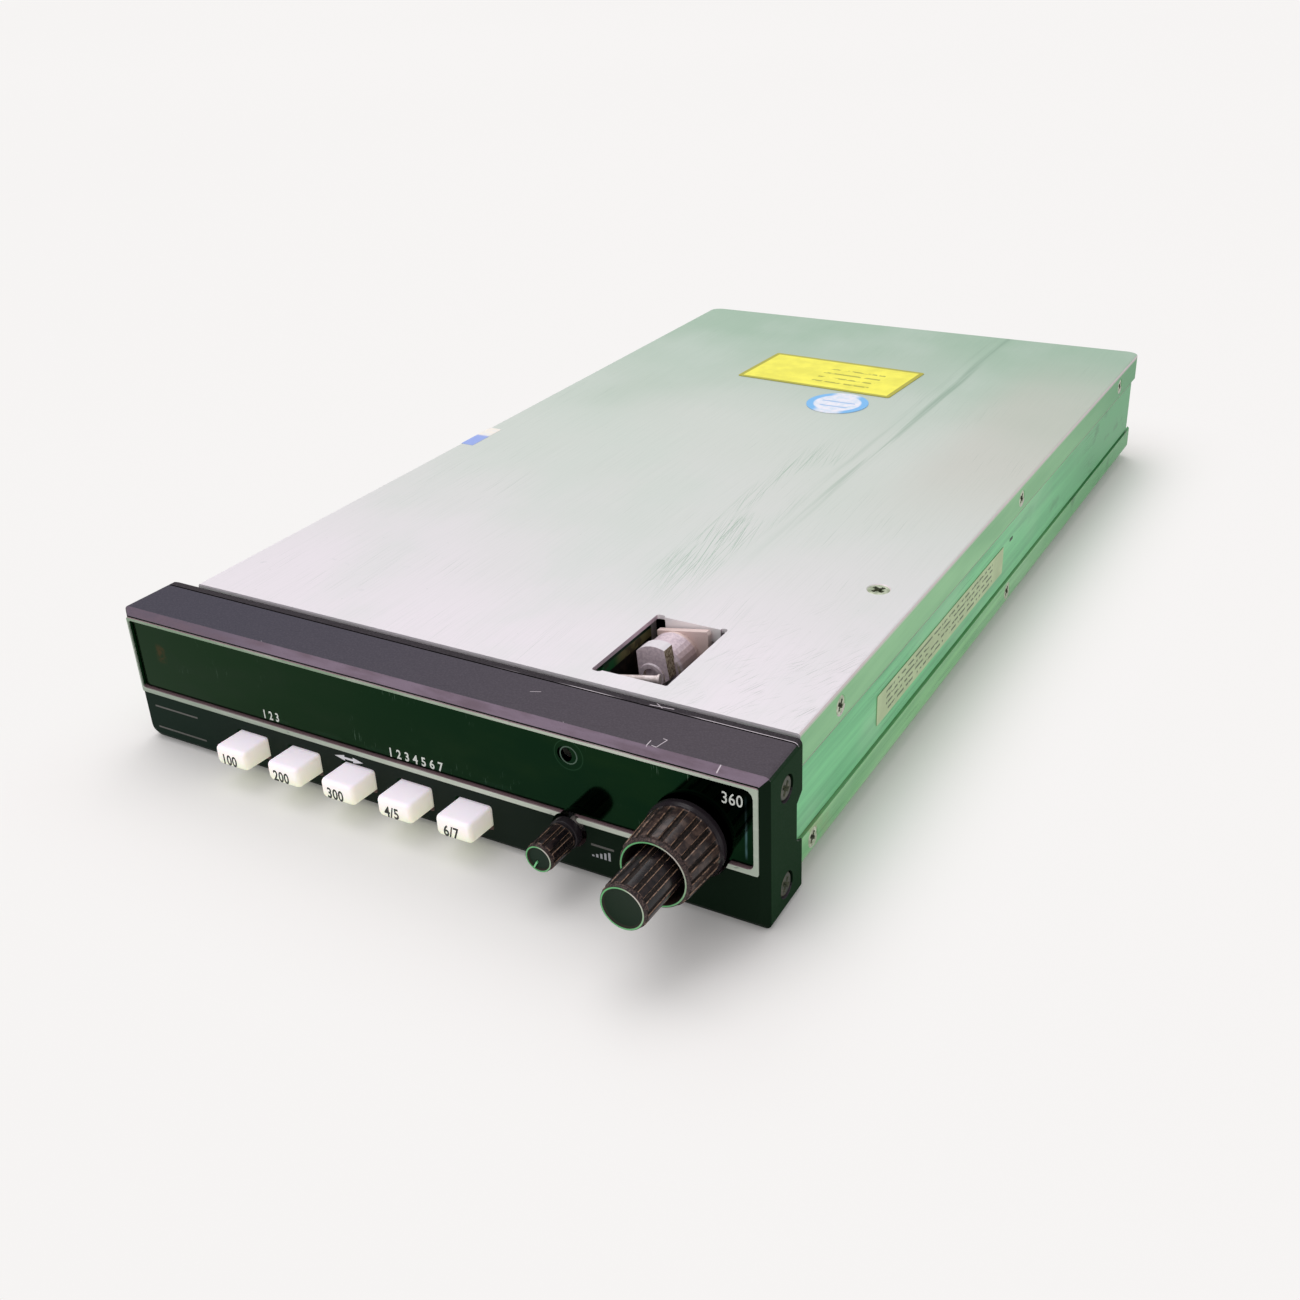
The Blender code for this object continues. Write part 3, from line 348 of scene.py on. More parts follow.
def bezel_paint():
    """Black enamel with a fine crackle, with painted light by facing: charcoal on top as if lit from above, a
    lilac highlight on the chamfer and green-black in front as a painted green reflection.
    """
    s = Surface("bezel_paint", roughness=0.6, Specular_IOR_Level=0.04)
    mottle = s.noise(0.4, detail=3, seed=1)
    up = s.rise(s.face_z, 0.3, 0.8)
    end = s.rise(s.absolute(s.face_x), 0.6, 0.9)
    slope = s.times(s.band(s.face_z, 0.35, 0.93, 0.04), s.rise(s.face_y, -0.2, -0.4), s.rise(s.z, 29.8, 30.8))
    # painted light by facing: green-black front as a painted green reflection, charcoal top as if lit from
    # above
    front = s.mix(s.rise(s.x, -76, -20), (24, 40, 32), (31, 39, 34))
    front = s.mix(s.rise(s.x, 0, 62), front, (14, 30, 18))
    top = s.mix(s.rise(s.x, -70, 70), (70, 68, 79), (80, 74, 81))
    colour = s.mix(up, front, top)
    # painted highlight on the lit window ledge
    lit_ledge = s.times(up, s.rise(s.z, 28, 20), s.rise(s.absolute(s.x), 78.2, 77.8))
    colour = s.over(colour, (120, 96, 100), lit_ledge)
    # painted green reflection on the end faces
    colour = s.over(colour, (8, 44, 18), end)
    # painted highlight on the chamfer
    lilac = s.mix(s.rise(s.x, -70, -20), (104, 94, 108), (134, 118, 134))
    colour = s.mix(
        slope, colour, s.mix(s.rise(s.noise(2.5, (4, 1, 1), 3, seed=4), 0.35, 0.7), lilac, (116, 100, 112))
    )
    behind = s.times(s.rise(s.y, 13.35, 13.7), up)
    colour = s.over(colour, (52, 48, 52), behind)
    # painted shade in the groove behind the top
    groove_shade = s.times(s.band(s.y, 13.2, 13.62, 0.05), s.rise(s.z, 32.2, 32.5), s.minus(1, end))
    colour = s.over(colour, (16, 12, 18), groove_shade)
    colour = s.over(colour, (128, 120, 130), s.rise(mottle, 0.35, 0.8), up, 0.16)
    nicks = s.times(s.rise(s.noise(0.9, (2.4, 1, 1), 3, seed=5), 0.7, 0.73), s.band(s.y, 1.1, 1.55, 0.1), up)
    rubbed = s.times(s.band(s.y, 13.6, 13.8, 0.05), up, s.rise(s.noise(3, (5, 1, 1), 3, seed=7), 0.4, 0.55))
    rubbed = s.times(rubbed, s.rise(s.x, 8, 40))
    marks = s.either(
        nicks, rubbed, s.line((54.7, 1.1), (54.6, 3), 0.12), s.line((56.6, 1.4), (57.2, 4.4), 0.1)
    )
    marks = s.either(marks, s.line((57.2, 4.4), (56.3, 4.5), 0.1), s.line((55.5, 1.6), (56.6, 1.4), 0.1))
    marks = s.either(marks, s.line((48, 14), (53, 14.5), 0.12), s.line((49, 15), (50.8, 13.9), 0.09))
    marks = s.times(s.either(marks, s.line((24.6, 8.3), (26.6, 9.2), 0.08)), up)
    tick = s.times(s.line((69.3, 0.3), (69.7, 1.3), 0.16), s.either(slope, up))
    colour = s.over(colour, (226, 216, 224), s.either(marks, tick), 0.85)
    hair = s.times(s.scratches(0.09, 8, "x", 0.35, 11, 24), up)
    colour = s.over(colour, (40, 36, 44), hair, 0.35)
    height = s.plus(mottle, s.times(marks, -2))
    return s.paint(colour, s.number(mottle, 0.5, 0.68), height, 0.012)


def trim_paint():
    """Pale satin frame round the lens, chipped along its edges."""
    s = Surface("trim_paint", roughness=0.42, metallic=0.05)
    patch = s.noise(1.6, (6, 1, 1), 3, seed=3)
    colour = s.mix(s.rise(s.x, -60, 30), (148, 162, 146), (196, 204, 190))
    colour = s.over(colour, (180, 192, 176), s.rise(s.x, 55, 74))
    colour = s.over(colour, (128, 152, 126), s.rise(s.z, 29.5, 30.3), s.rise(s.x, 60, -20))
    # painted light: top-facing faces lilac-brown as if lit from above
    colour = s.over(colour, (150, 122, 130), s.rise(s.face_z, 0.3, 0.8))
    chips = s.rise(s.noise(0.8, (3, 1, 1), 3, seed=6), 0.66, 0.72)
    colour = s.over(colour, (214, 214, 206), s.rise(patch, 0.45, 0.75), 0.3)
    colour = s.over(colour, (92, 98, 92), chips, 0.5)
    return s.paint(colour, s.number(patch, 0.34, 0.52), s.times(chips, -1), 0.015)


def lens_plastic():
    """Dark green acrylic window with a green sheen, a faint brown digit at its left end and a painted
    highlight streak near its right edge.
    """
    s = Surface("lens_plastic", roughness=0.07, metallic=1)
    cloud = s.noise(9, (2, 1, 1), 3, seed=4)
    colour = s.mix(s.rise(s.x, -70, 50), (8, 42, 12), (9, 37, 19))
    colour = s.over(colour, (17, 42, 20), s.rise(cloud, 0.4, 0.8))
    digit = s.times(s.band(s.x, -71, -68.6, 0.7), s.band(s.z, 21.4, 25.2, 0.9))
    colour = s.over(colour, (74, 50, 18), digit, s.rise(s.noise(1, detail=2), 0.3, 0.6), 0.5)
    access = s.radius(centre_mm("latch_paw").x, centre_mm("latch_shaft").z)
    colour = s.over(colour, (50, 84, 60), s.band(access, 3.1, 3.25, 0.08), 0.4)
    # painted highlight: a pale streak near the right edge
    streak = s.times(s.band(s.x, 74.7, 75.1, 0.15), s.band(s.z, 15.5, 28, 1))
    colour = s.over(colour, (92, 130, 134), streak, s.rise(s.noise(2, (1, 1, 4), 2, seed=3), 0.35, 0.6), 0.6)
    scuffs = s.times(s.scratches(0.09, 3.2, "z", 0.2, 2), s.rise(s.noise(8, detail=2, seed=8), 0.58, 0.7))
    colour = s.over(colour, (120, 150, 130), scuffs, 0.6)
    return s.paint(colour, s.number(cloud, 0.05, 0.12), s.noise(0.5, detail=1, seed=9), 0.001)


def key_plastic():
    """Milky push keys, lifted by an emission of their own colour as painted light: lilac-white on top and
    lighter on the right side as painted light, cream-green towards the lower edges.
    """
    s = Surface(
        "key_plastic", roughness=0.4, Subsurface_Weight=0.2, Subsurface_Scale=0.001, Emission_Strength=0.3
    )
    low, high = box_mm("key_adf")
    colour = s.mix(s.rise(s.z, low.z + 1, high.z - 1.5), (226, 232, 204), (250, 240, 240))
    # painted light: tops lighter as if lit from above, right sides lighter
    colour = s.over(colour, (252, 242, 254), s.rise(s.face_z, 0.2, 0.8))
    colour = s.over(colour, (238, 232, 214), s.rise(s.face_x, 0.4, 0.9), 0.6)
    grime = s.rise(s.noise(1.6, detail=4, seed=2), 0.52, 0.75)
    colour = s.over(colour, (196, 192, 170), grime, 0.08)
    # painted light: the keys emit their own colour to lift them out of the bezel's shade
    s.feed(s.shader.inputs["Emission Color"], colour)
    return s.paint(colour, s.number(grime, 0.36, 0.5), s.noise(0.25, detail=2, seed=6), 0.003)


def knob_plastic(name, node, ribs, rim, dish, crest_tones):
    """Black knob: glossy blue-black ribs with worn brown edges that are also a painted highlight, valleys
    darkened by painted shade and flecked with brown grime, and a rim ring in front painted with a highlight
    and a green reflection.

    ribs is (front y, front radius, rear y, rear radius, height), and rim the ring's (inner, outer) radius.
    crest_tones are the darkest and lightest tone on top of the ribs.
    """
    s = Surface(name, roughness=0.3, Specular_IOR_Level=0.26)
    middle = centre_mm(node)
    front = box_mm(node)[0].y
    y0, r0, y1, r1, tall = ribs
    r = s.radius(middle.x, middle.z)
    top = s.plus(s.maths("MULTIPLY", s.minus(s.y, y0), (r1 - r0) / (y1 - y0)), r0)
    sunk = s.minus(top, r)
    grit = s.noise(0.22, (1, 2.2, 1), 4, seed=2)
    # valleys: painted shade of the deep flutes, flecked with brown grime
    grime = s.mix(s.rise(grit, 0.4, 0.72), (13, 10, 10), (62, 48, 42))
    crest = s.mix(s.rise(s.noise(1.5, detail=2, seed=4), 0.4, 0.7), *crest_tones)
    colour = s.mix(s.rise(sunk, 0.12 * tall, 0.6 * tall), crest, grime)
    # worn brown rib edges, also a painted highlight
    worn = s.rise(s.noise(1.1, (1, 2, 1), 3, seed=6), 0.38, 0.52)
    edge = s.times(s.band(sunk, 0.1 * tall, 0.4 * tall, 0.03), s.rise(grit, 0.3, 0.55), worn)
    colour = s.over(colour, (172, 138, 116), edge, 0.85)
    behind = s.rise(s.y, y1 + 0.1, y1 + 0.5)
    colour = s.over(colour, (38, 32, 37), behind)
    collar = s.rise(s.y, y0 - 0.05, y0 - 0.3)
    colour = s.mix(collar, colour, s.mix(s.rise(grit, 0.4, 0.75), (38, 30, 32), (104, 84, 78)))
    # painted highlight and green reflection on the rim ring: green low and left, pale high and right
    inner_r, outer_r = rim
    level = s.rise(s.z, middle.z - r0, middle.z + r0)
    pale = s.mix(
        s.times(level, s.rise(s.x, middle.x - r0 * 0.2, middle.x + r0 * 0.6)),
        (108, 186, 122),
        (216, 204, 200),
    )
    ring = s.times(s.rise(s.y, front + 0.3, front + 0.08), s.band(r, inner_r, outer_r, 0.05))
    colour = s.mix(ring, colour, pale)
    inside = s.times(s.rise(r, inner_r - 0.02, inner_r - 0.12), s.rise(s.y, y0 + 2, y0 - 0.5))
    floor = s.times(inside, s.rise(s.face_y, -0.4, -0.8))
    colour = s.over(colour, (58, 44, 40), inside)
    # the dish tone passed in; on the inner and volume knobs its green is a painted reflection
    colour = s.mix(floor, colour, dish)
    dull = s.either(s.rise(sunk, 0.1 * tall, 0.7 * tall), collar, inside)
    return s.paint(colour, s.number(dull, 0.22, 0.62), grit, 0.012)


def cast_metal():
    """Pale pinkish cast metal of the locking paw, lighter on top as painted light, and brown, rough and
    darker on its +X side as painted shade.
    """
    s = Surface("cast_metal", roughness=0.42, metallic=0.1)
    pits = s.noise(0.7, detail=4, seed=3)
    colour = s.mix(s.rise(pits, 0.3, 0.7), (206, 186, 198), (232, 214, 222))
    rear = s.rise(s.y, 42.8, 43.2)
    colour = s.over(colour, (226, 204, 200), rear)
    # painted light: top faces lighter
    top = s.times(s.rise(s.face_z, 0.5, 0.85), s.rise(s.y, 37, 36.4))
    colour = s.over(colour, (226, 220, 226), top)
    # painted shade on the +X side of the lug, brown with a rough mottle
    shaded_lug_side = s.times(s.rise(s.face_x, 0.6, 0.85), s.rise(s.y, 36.9, 36.4), s.rise(s.z, 25, 27))
    rough = s.mix(s.rise(s.noise(0.5, detail=4, seed=9), 0.35, 0.65), (112, 92, 74), (198, 180, 158))
    colour = s.mix(shaded_lug_side, colour, rough)
    # painted shade on the +X faces
    low = s.times(s.rise(s.face_x, 0.5, 0.95), s.band(s.y, 37, 43, 0.3))
    colour = s.over(colour, (176, 146, 140), low, 0.7)
    dots = s.rise(s.noise(0.4, detail=2, seed=6), 0.68, 0.74)
    colour = s.over(colour, (150, 128, 140), dots, 0.5)
    return s.paint(colour, s.number(pits, 0.36, 0.52), pits, 0.015)


def bracket_metal():
    """Latch bracket: its left cheek carries a green board edge, olive towards the rear, between dark bands of
    painted shade; its rear wall is painted pale as painted light.
    """
    s = Surface("bracket_metal", roughness=0.5, metallic=0.1)
    blotch = s.noise(3, detail=3, seed=5)
    colour = s.mix(s.rise(blotch, 0.3, 0.7), (30, 26, 24), (58, 50, 44))
    cheek = s.rise(s.x, 30.2, 29.6)
    rear = s.rise(s.y, 31, 35)
    # dark bands below and above the board edge are painted shade
    layers = s.mix(s.rise(s.z, 27.9, 28.1), (20, 16, 16), s.mix(rear, (30, 104, 58), (128, 124, 84)))
    layers = s.mix(s.rise(s.z, 29.9, 30.1), layers, (14, 52, 34))
    layers = s.mix(s.times(s.rise(blotch, 0.5, 0.6), s.rise(s.z, 30, 29.8), 0.7), layers, (60, 48, 40))
    colour = s.mix(cheek, colour, layers)
    # painted light: the rear wall is painted pale as if brightly lit
    wall = s.rise(s.y, 46.6, 47)
    colour = s.over(colour, (206, 196, 196), wall)
    return s.paint(colour, s.number(blotch, 0.4, 0.6), blotch, 0.01)


def plain_metal(name, tone_low, tone_high, size=1.5, rough=(0.25, 0.45), metallic=0.8):
    """Small metal piece with fine machining and blotches."""
    s = Surface(name, metallic=metallic)
    blotch = s.noise(size, detail=4, seed=1)
    colour = s.mix(s.rise(blotch, 0.3, 0.7), tone_low, tone_high)
    return s.paint(colour, s.number(blotch, *rough), s.noise(size / 4, detail=2, seed=5), 0.006)


def moulded(name, tone_low, tone_high, size=2, rough=(0.4, 0.6)):
    """Moulded or printed part with a slight mottle."""
    s = Surface(name)
    mottle = s.noise(size, detail=4, seed=4)
    colour = s.mix(s.rise(mottle, 0.3, 0.7), tone_low, tone_high)
    return s.paint(colour, s.number(mottle, *rough), s.noise(size / 5, detail=2, seed=8), 0.01)


def label_face(name, node, paper, print_tone, rows, across, border=None, turn=0):
    """Printed label, with plain bars for its print. across is the axis that the rows run along.

    Each row is (middle, height, start, end, word length) in mm from the label's middle, and border is the
    (half length, half height) of the field inside the edge line.
    """
    s = Surface(name, roughness=0.5)
    middle = centre_mm(node)
    fade = s.noise(6, detail=3, seed=4)
    colour = s.mix(s.rise(fade, 0.3, 0.7), paper, tuple(channel * 0.86 for channel in paper[:3]) + (1,))
    flat = s.vector("SUBTRACT", s.mm, tuple(middle))
    mapping = s.tree.nodes.new("ShaderNodeMapping")
    mapping.inputs["Rotation"].default_value = (0, 0, math.radians(-turn))
    s.tree.links.new(flat, mapping.inputs["Vector"])
    split = s.tree.nodes.new("ShaderNodeSeparateXYZ")
    s.tree.links.new(mapping.outputs[0], split.inputs[0])
    u, v = (split.outputs[0], split.outputs[1]) if across == "x" else (split.outputs[1], split.outputs[2])
    marks = None
    for v_mid, tall, u_from, u_to, word in rows:
        shown = s.times(s.band(v, v_mid - tall / 2, v_mid + tall / 2, 0.08), s.band(u, u_from, u_to, 0.1))
        broken = s.noise(word, seed=abs(v_mid) + 1, detail=1)
        shown = s.times(shown, s.rise(broken, 0.42, 0.5))
        marks = shown if marks is None else s.either(marks, shown)
    if border:
        half_u, half_v = border
        outside = s.either(
            s.rise(s.absolute(u), half_u, half_u + 0.2), s.rise(s.absolute(v), half_v, half_v + 0.2)
        )
        marks = s.either(marks, outside)
    return s.paint(s.mix(s.times(marks, 0.85), colour, print_tone), s.number(fade, 0.42, 0.6), fade, 0.01)


def sticker_face():
    """Round inspection sticker: white field, blue ring and a blue band."""
    s = Surface("blue_sticker", roughness=0.45)
    middle = centre_mm("round_sticker")
    across = s.maths("POWER", s.minus(s.x, middle.x), 2)
    along = s.maths("POWER", s.minus(s.y, middle.y), 2)
    r = s.maths("SQRT", s.plus(across, along))
    fade = s.noise(2, detail=3, seed=3)
    colour = s.mix(s.rise(fade, 0.3, 0.7), (244, 240, 250), (214, 228, 246))
    rim = s.times(s.rise(r, 6.6, 7.2), s.rise(s.absolute(s.minus(s.x, middle.x)), 2.5, 5))
    colour = s.over(colour, (120, 188, 244), rim)
    lines = s.either(s.band(s.y, middle.y - 3.4, middle.y - 2.6), s.band(s.y, middle.y + 0.6, middle.y + 1.4))
    colour = s.over(colour, (120, 176, 232), lines, s.rise(r, 5.4, 5), 0.7)
    return s.paint(colour, s.number(fade, 0.4, 0.55), fade, 0.008)


def ink(name, colour, painted_glow=0):
    """Printed marks, a little uneven where they have rubbed; their emission, when given, is painted light
    that brightens them.
    """
    s = Surface(name, roughness=0.5, Emission_Strength=painted_glow, Emission_Color=colour)
    rub = s.rise(s.noise(0.5, detail=3, seed=3), 0.55, 0.75)
    faded = tuple(channel * 0.78 for channel in colour[:3]) + (1,)
    return s.paint(s.mix(s.times(rub, 0.5), colour, faded), s.number(rub, 0.45, 0.6))


# ---------------------------------------------------------------- mesh helpers
def piece(name, bm, material, body=RECEIVER, stands_for=(), smooth=35.0):
    """Turns a bmesh in frame metres into a piece that rides on a CAD body."""
    bmesh.ops.recalc_face_normals(bm, faces=bm.faces)
    mesh = bpy.data.meshes.new(name)
    bm.to_mesh(mesh)
    bm.free()
    mesh.materials.append(material)
    mesh.shade_smooth()
    mesh.set_sharp_from_angle(angle=math.radians(smooth))
    obj = bpy.data.objects.new(name, mesh)
    bpy.context.scene.collection.objects.link(obj)
    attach(obj, body)
    if stands_for:
        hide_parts(*stands_for)
    return obj


def loft(rings, bm=None):
    """Skin through closed rings of points in mm, capped at both ends."""
    bm = bm or bmesh.new()
    loops = [[bm.verts.new(at(*point)) for point in ring] for ring in rings]
    for first, second in zip(loops, loops[1:]):
        for index in range(len(first)):
            after = (index + 1) % len(first)
            bm.faces.new((first[index], first[after], second[after], second[index]))
    bm.faces.new(loops[0])
    bm.faces.new(list(reversed(loops[-1])))
    return bm


def full_turn(count):
    """That many angles in radians, evenly spread round a circle."""
    return [2 * math.pi * index / count for index in range(count)]


def rounded(x0, z0, x1, z1, radius, steps):
    """Outline of a rectangle with round corners, as (x, z) points."""
    points = []
    corners = (
        (x1 - radius, z0 + radius, -90),
        (x1 - radius, z1 - radius, 0),
        (x0 + radius, z1 - radius, 90),
        (x0 + radius, z0 + radius, 180),
    )
    for cx, cz, start in corners:
        for step in range(steps + 1):
            angle = math.radians(start + 90 * step / steps)
            points.append((cx + radius * math.cos(angle), cz + radius * math.sin(angle)))
    return points


def slab(bm, low, high):
    """A box between two corners in mm."""
    made = bmesh.ops.create_cube(bm, size=1.0)["verts"]
    low, high = Vector(low), Vector(high)
    middle = (low + high) / 2
    size = (high - low) * MM
    matrix = Matrix.Translation(at(*middle)) @ Matrix.Diagonal((*size, 1.0))
    bmesh.ops.transform(bm, matrix=matrix, verts=made)


def soften(names, width, angle=40.0, segments=2):
    """Small rounded edges on CAD nodes, made by modifiers."""
    for name in names:
        obj = NODES[name]
        weld = obj.modifiers.new("weld", "WELD")
        weld.merge_threshold = 0.00001
        bevel = obj.modifiers.new("edge", "BEVEL")
        bevel.width = width * MM
        bevel.segments = segments
        bevel.limit_method = "ANGLE"
        bevel.angle_limit = math.radians(angle)
        bevel.use_clamp_overlap = True
        bevel.harden_normals = False
        obj.modifiers.new("normals", "WEIGHTED_NORMAL").keep_sharp = True


def coat(material, *names):
    """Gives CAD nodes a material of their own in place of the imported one."""
    for name in names:
        mesh = NODES[name].data
        mesh.materials.clear()
        mesh.materials.append(material)


# ---------------------------------------------------------------- keys
KEYS = (("key_adf", "adf_key", "100"), ("key_bfo", "bfo_key", "200"), ("key_frq", "frq_key", "300"),
        ("key_flt_et", "flt_et_key", "4/5"), ("key_set_rst", "set_rst_key", "6/7"))
EDGE_STEPS = 8


def key_cap(node, body, material):
    """Push key: crisp upper front edge, softly rounded sides and lower front, flange behind the bezel."""
    low, high = box_mm(node)
    flange = 1.0
    x0, x1 = low.x + flange, high.x - flange
    z0, z1 = low.z + 1.1, high.z - 0.9
    wall = 3.3
    rings = []
    for step in range(EDGE_STEPS + 1):
        angle = math.radians(90 * step / EDGE_STEPS)
        back = 1 - math.sin(angle)
        side = 1 - math.cos(angle)
        y = low.y + 1.3 * side
        left, right = x0 - 0.3 + 1.15 * back, x1 + 0.05 - 0.8 * back
        outline = rounded(left, z0 + 0.25 + 1.5 * back, right, z1 - 0.5 * back, 1.0, 6)
        rings.append([(x, y, z) for x, z in outline])
    for y, outline in (
        (-0.2, rounded(x0, z0, x1, z1, 0.9, 6)),
        (wall, rounded(x0, z0, x1, z1, 0.9, 6)),
        (wall, rounded(low.x, low.z, high.x, high.z, 0.7, 6)),
        (wall + 1.0, rounded(low.x, low.z, high.x, high.z, 0.7, 6)),
    ):
        rings.append([(x, y, z) for x, z in outline])
    mid_x, mid_z = (x0 + x1) / 2, (low.z + high.z) / 2
    stub = rounded(mid_x - 2.2, mid_z - 1.8, mid_x + 2.2, mid_z + 1.8, 0.4, 6)
    rings.append([(x, wall + 1.0, z) for x, z in stub])
    rings.append([(x, high.y, z) for x, z in stub])
    return piece(f"cap_of_{node}", loft(rings), material, body, (node,))


# ---------------------------------------------------------------- knobs
BROWN_CREST = ((44, 35, 35), (80, 64, 58))
BLACK_CREST = ((22, 19, 22), (46, 36, 36))
RIB_HALF_WIDTH = 0.27  # from the middle of a rib, as a share of one rib and valley
RIB_SLOPE = 0.1
POINTER_TURN = -242.0  # degrees


def fluted(name, node, body, material, profile, ribs, steps=16):
    """Turned knob with flat-topped ribs. A profile point is (radius, y, flute depth) in mm."""
    middle = centre_mm(node)
    count = ribs * steps
    rings = []
    for radius, y, depth in profile:
        ring = []
        for index in range(count):
            angle = 2 * math.pi * index / count
            phase = (index % steps) / steps
            away = abs(phase - 0.5)
            share = min(1.0, max(0.0, (away - RIB_HALF_WIDTH) / RIB_SLOPE))
            reach = radius - depth * share * share * (3 - 2 * share)
            ring.append((middle.x + reach * math.cos(angle), y, middle.z + reach * math.sin(angle)))
        rings.append(ring)
    return piece(name, loft(rings), material, body, (node,), smooth=32.0)


def build_knobs():
    front = box_mm("outer_tuning_knob")[0].y
    outer = [(1.95, -6.6, 0), (6.1, -6.6, 0), (6.2, front + 0.9, 0), (6.3, front + 0.2, 0), (6.42, front, 0)]
    outer += [(6.68, front, 0), (6.86, front + 0.1, 0), (6.96, front + 0.3, 0), (7.0, front + 0.95, 0)]
    outer += [(7.2, front + 1.02, 0.22), (7.34, front + 1.14, 0.42), (7.4, front + 1.35, 0.55)]
    outer += [(7.88, -2.95, 0.55), (7.9, -2.7, 0.3), (7.92, -2.5, 0), (7.96, -2.25, 0), (8.26, -1.7, 0)]
    outer += [(8.3, -1.5, 0), (8.3, -0.7, 0), (3.15, -0.7, 0)]
    ribs = (front + 1.35, 7.4, -2.95, 7.88, 0.55)
    material = knob_plastic(
        "outer_knob_plastic", "outer_tuning_knob", ribs, (6.4, 6.7), (26, 20, 18), BROWN_CREST
    )
    fluted("outer_knob", "outer_tuning_knob", "outer_tuning", material, outer, 18)
    front = box_mm("inner_tuning_knob")[0].y
    inner = [(0.3, front + 0.95, 0), (3.0, front + 0.75, 0), (3.75, front + 0.4, 0), (3.98, front + 0.1, 0)]
    inner += [(4.06, front, 0), (4.3, front, 0), (4.42, front + 0.08, 0), (4.5, front + 0.3, 0)]
    inner += [(4.5, front + 0.9, 0), (4.66, front + 0.98, 0.2), (4.74, front + 1.08, 0.34)]
    inner += [
        (4.76, front + 1.25, 0.42),
        (4.82, -8.75, 0.42),
        (4.82, -8.6, 0.2),
        (4.76, -8.4, 0),
        (4.64, -8.0, 0),
        (4.5, -7.8, 0),
    ]
    inner += [(1.65, -7.8, 0)]
    ribs = (front + 1.25, 4.76, -8.75, 4.82, 0.42)
    # the dark green dish tone is a painted reflection
    material = knob_plastic(
        "inner_knob_plastic", "inner_tuning_knob", ribs, (4.04, 4.32), (6, 34, 14), BLACK_CREST
    )
    fluted("inner_knob", "inner_tuning_knob", "inner_tuning", material, inner, 12)
    front = box_mm("volume_knob")[0].y
    volume = [(0.2, front + 0.45, 0), (2.3, front + 0.42, 0), (2.5, front + 0.12, 0), (2.56, front, 0)]
    volume += [(2.76, front, 0), (2.86, front + 0.08, 0), (2.93, front + 0.25, 0), (2.95, front + 0.75, 0)]
    volume += [(3.06, front + 0.85, 0.2), (3.12, front + 1.05, 0.3), (3.18, -3.5, 0.3), (3.17, -3.3, 0.15)]
    volume += [(3.12, -3.15, 0), (3.12, -2.75, 0), (2.95, -2.65, 0), (2.95, -2.4, 0), (3.2, -2.28, 0)]
    volume += [(3.28, -2.1, 0), (3.3, -0.6, 0), (1.65, -0.6, 0)]
    ribs = (front + 1.05, 3.12, -3.5, 3.18, 0.3)
    # the dark green dish tone is a painted reflection
    material = knob_plastic("volume_knob_plastic", "volume_knob", ribs, (2.54, 2.8), (8, 36, 20), BLACK_CREST)
    fluted("volume_cap", "volume_knob", "volume", material, volume, 10)
    middle = centre_mm("volume_knob")
    bm = bmesh.new()
    slab(bm, (middle.x + 0.9, front + 0.05, middle.z - 0.16), (middle.x + 2.75, front + 0.5, middle.z + 0.16))
    pivot = at(*middle)
    spin = Matrix.Rotation(math.radians(POINTER_TURN), 4, "Y")
    turned = Matrix.Translation(pivot) @ spin @ Matrix.Translation(-pivot)
    bmesh.ops.transform(bm, matrix=turned, verts=bm.verts)
    piece("volume_pointer", bm, ink("pointer_paint", tone(120, 204, 140)), "volume")


# ---------------------------------------------------------------- latch
def build_latch():
    """Tapered cross pin with a bright end disc, in place of the plain CAD pin."""
    start, end = Vector((29.2, 23.2, 30.0)), Vector((42.8, 27.0, 30.5))
    axis = (end - start).normalized()
    side = axis.cross(Vector((0, 0, 1))).normalized()
    up = side.cross(axis)
    length = (end - start).length
    profile = ((0.45, 0.0), (0.5, 0.2), (0.85, length - 0.55), (0.85, length - 0.5), (1.12, length - 0.45))
    profile += ((1.15, length - 0.35), (1.15, length - 0.08), (1.05, length))
    rings = []
    turns = full_turn(28)
    for radius, along in profile:
        spot = start + axis * along
        rings.append(
            [tuple(spot + side * radius * math.cos(turn) + up * radius * math.sin(turn)) for turn in turns]
        )
    steel = plain_metal("pin_pale", (196, 180, 178), (232, 220, 220), 1.2, (0.25, 0.4), 0.15)
    piece("cross_pin", loft(rings), steel, RECEIVER, ("latch_cross_pin",), smooth=30.0)


# ---------------------------------------------------------------- screws
# Sizes of a screw head as shares of its radius.
RECESS_TURN = (0.82, 0.57)  # cosine and sine of the cross's angle, about 35 degrees
ARM_HALF_WIDTH = 0.13
ARM_REACH = 0.56
RECESS_EDGE = 0.1
RECESS_DEPTH = 0.34
ROUNDED_FROM = 0.86
EDGE_DROP = 0.1
NECK = 0.55


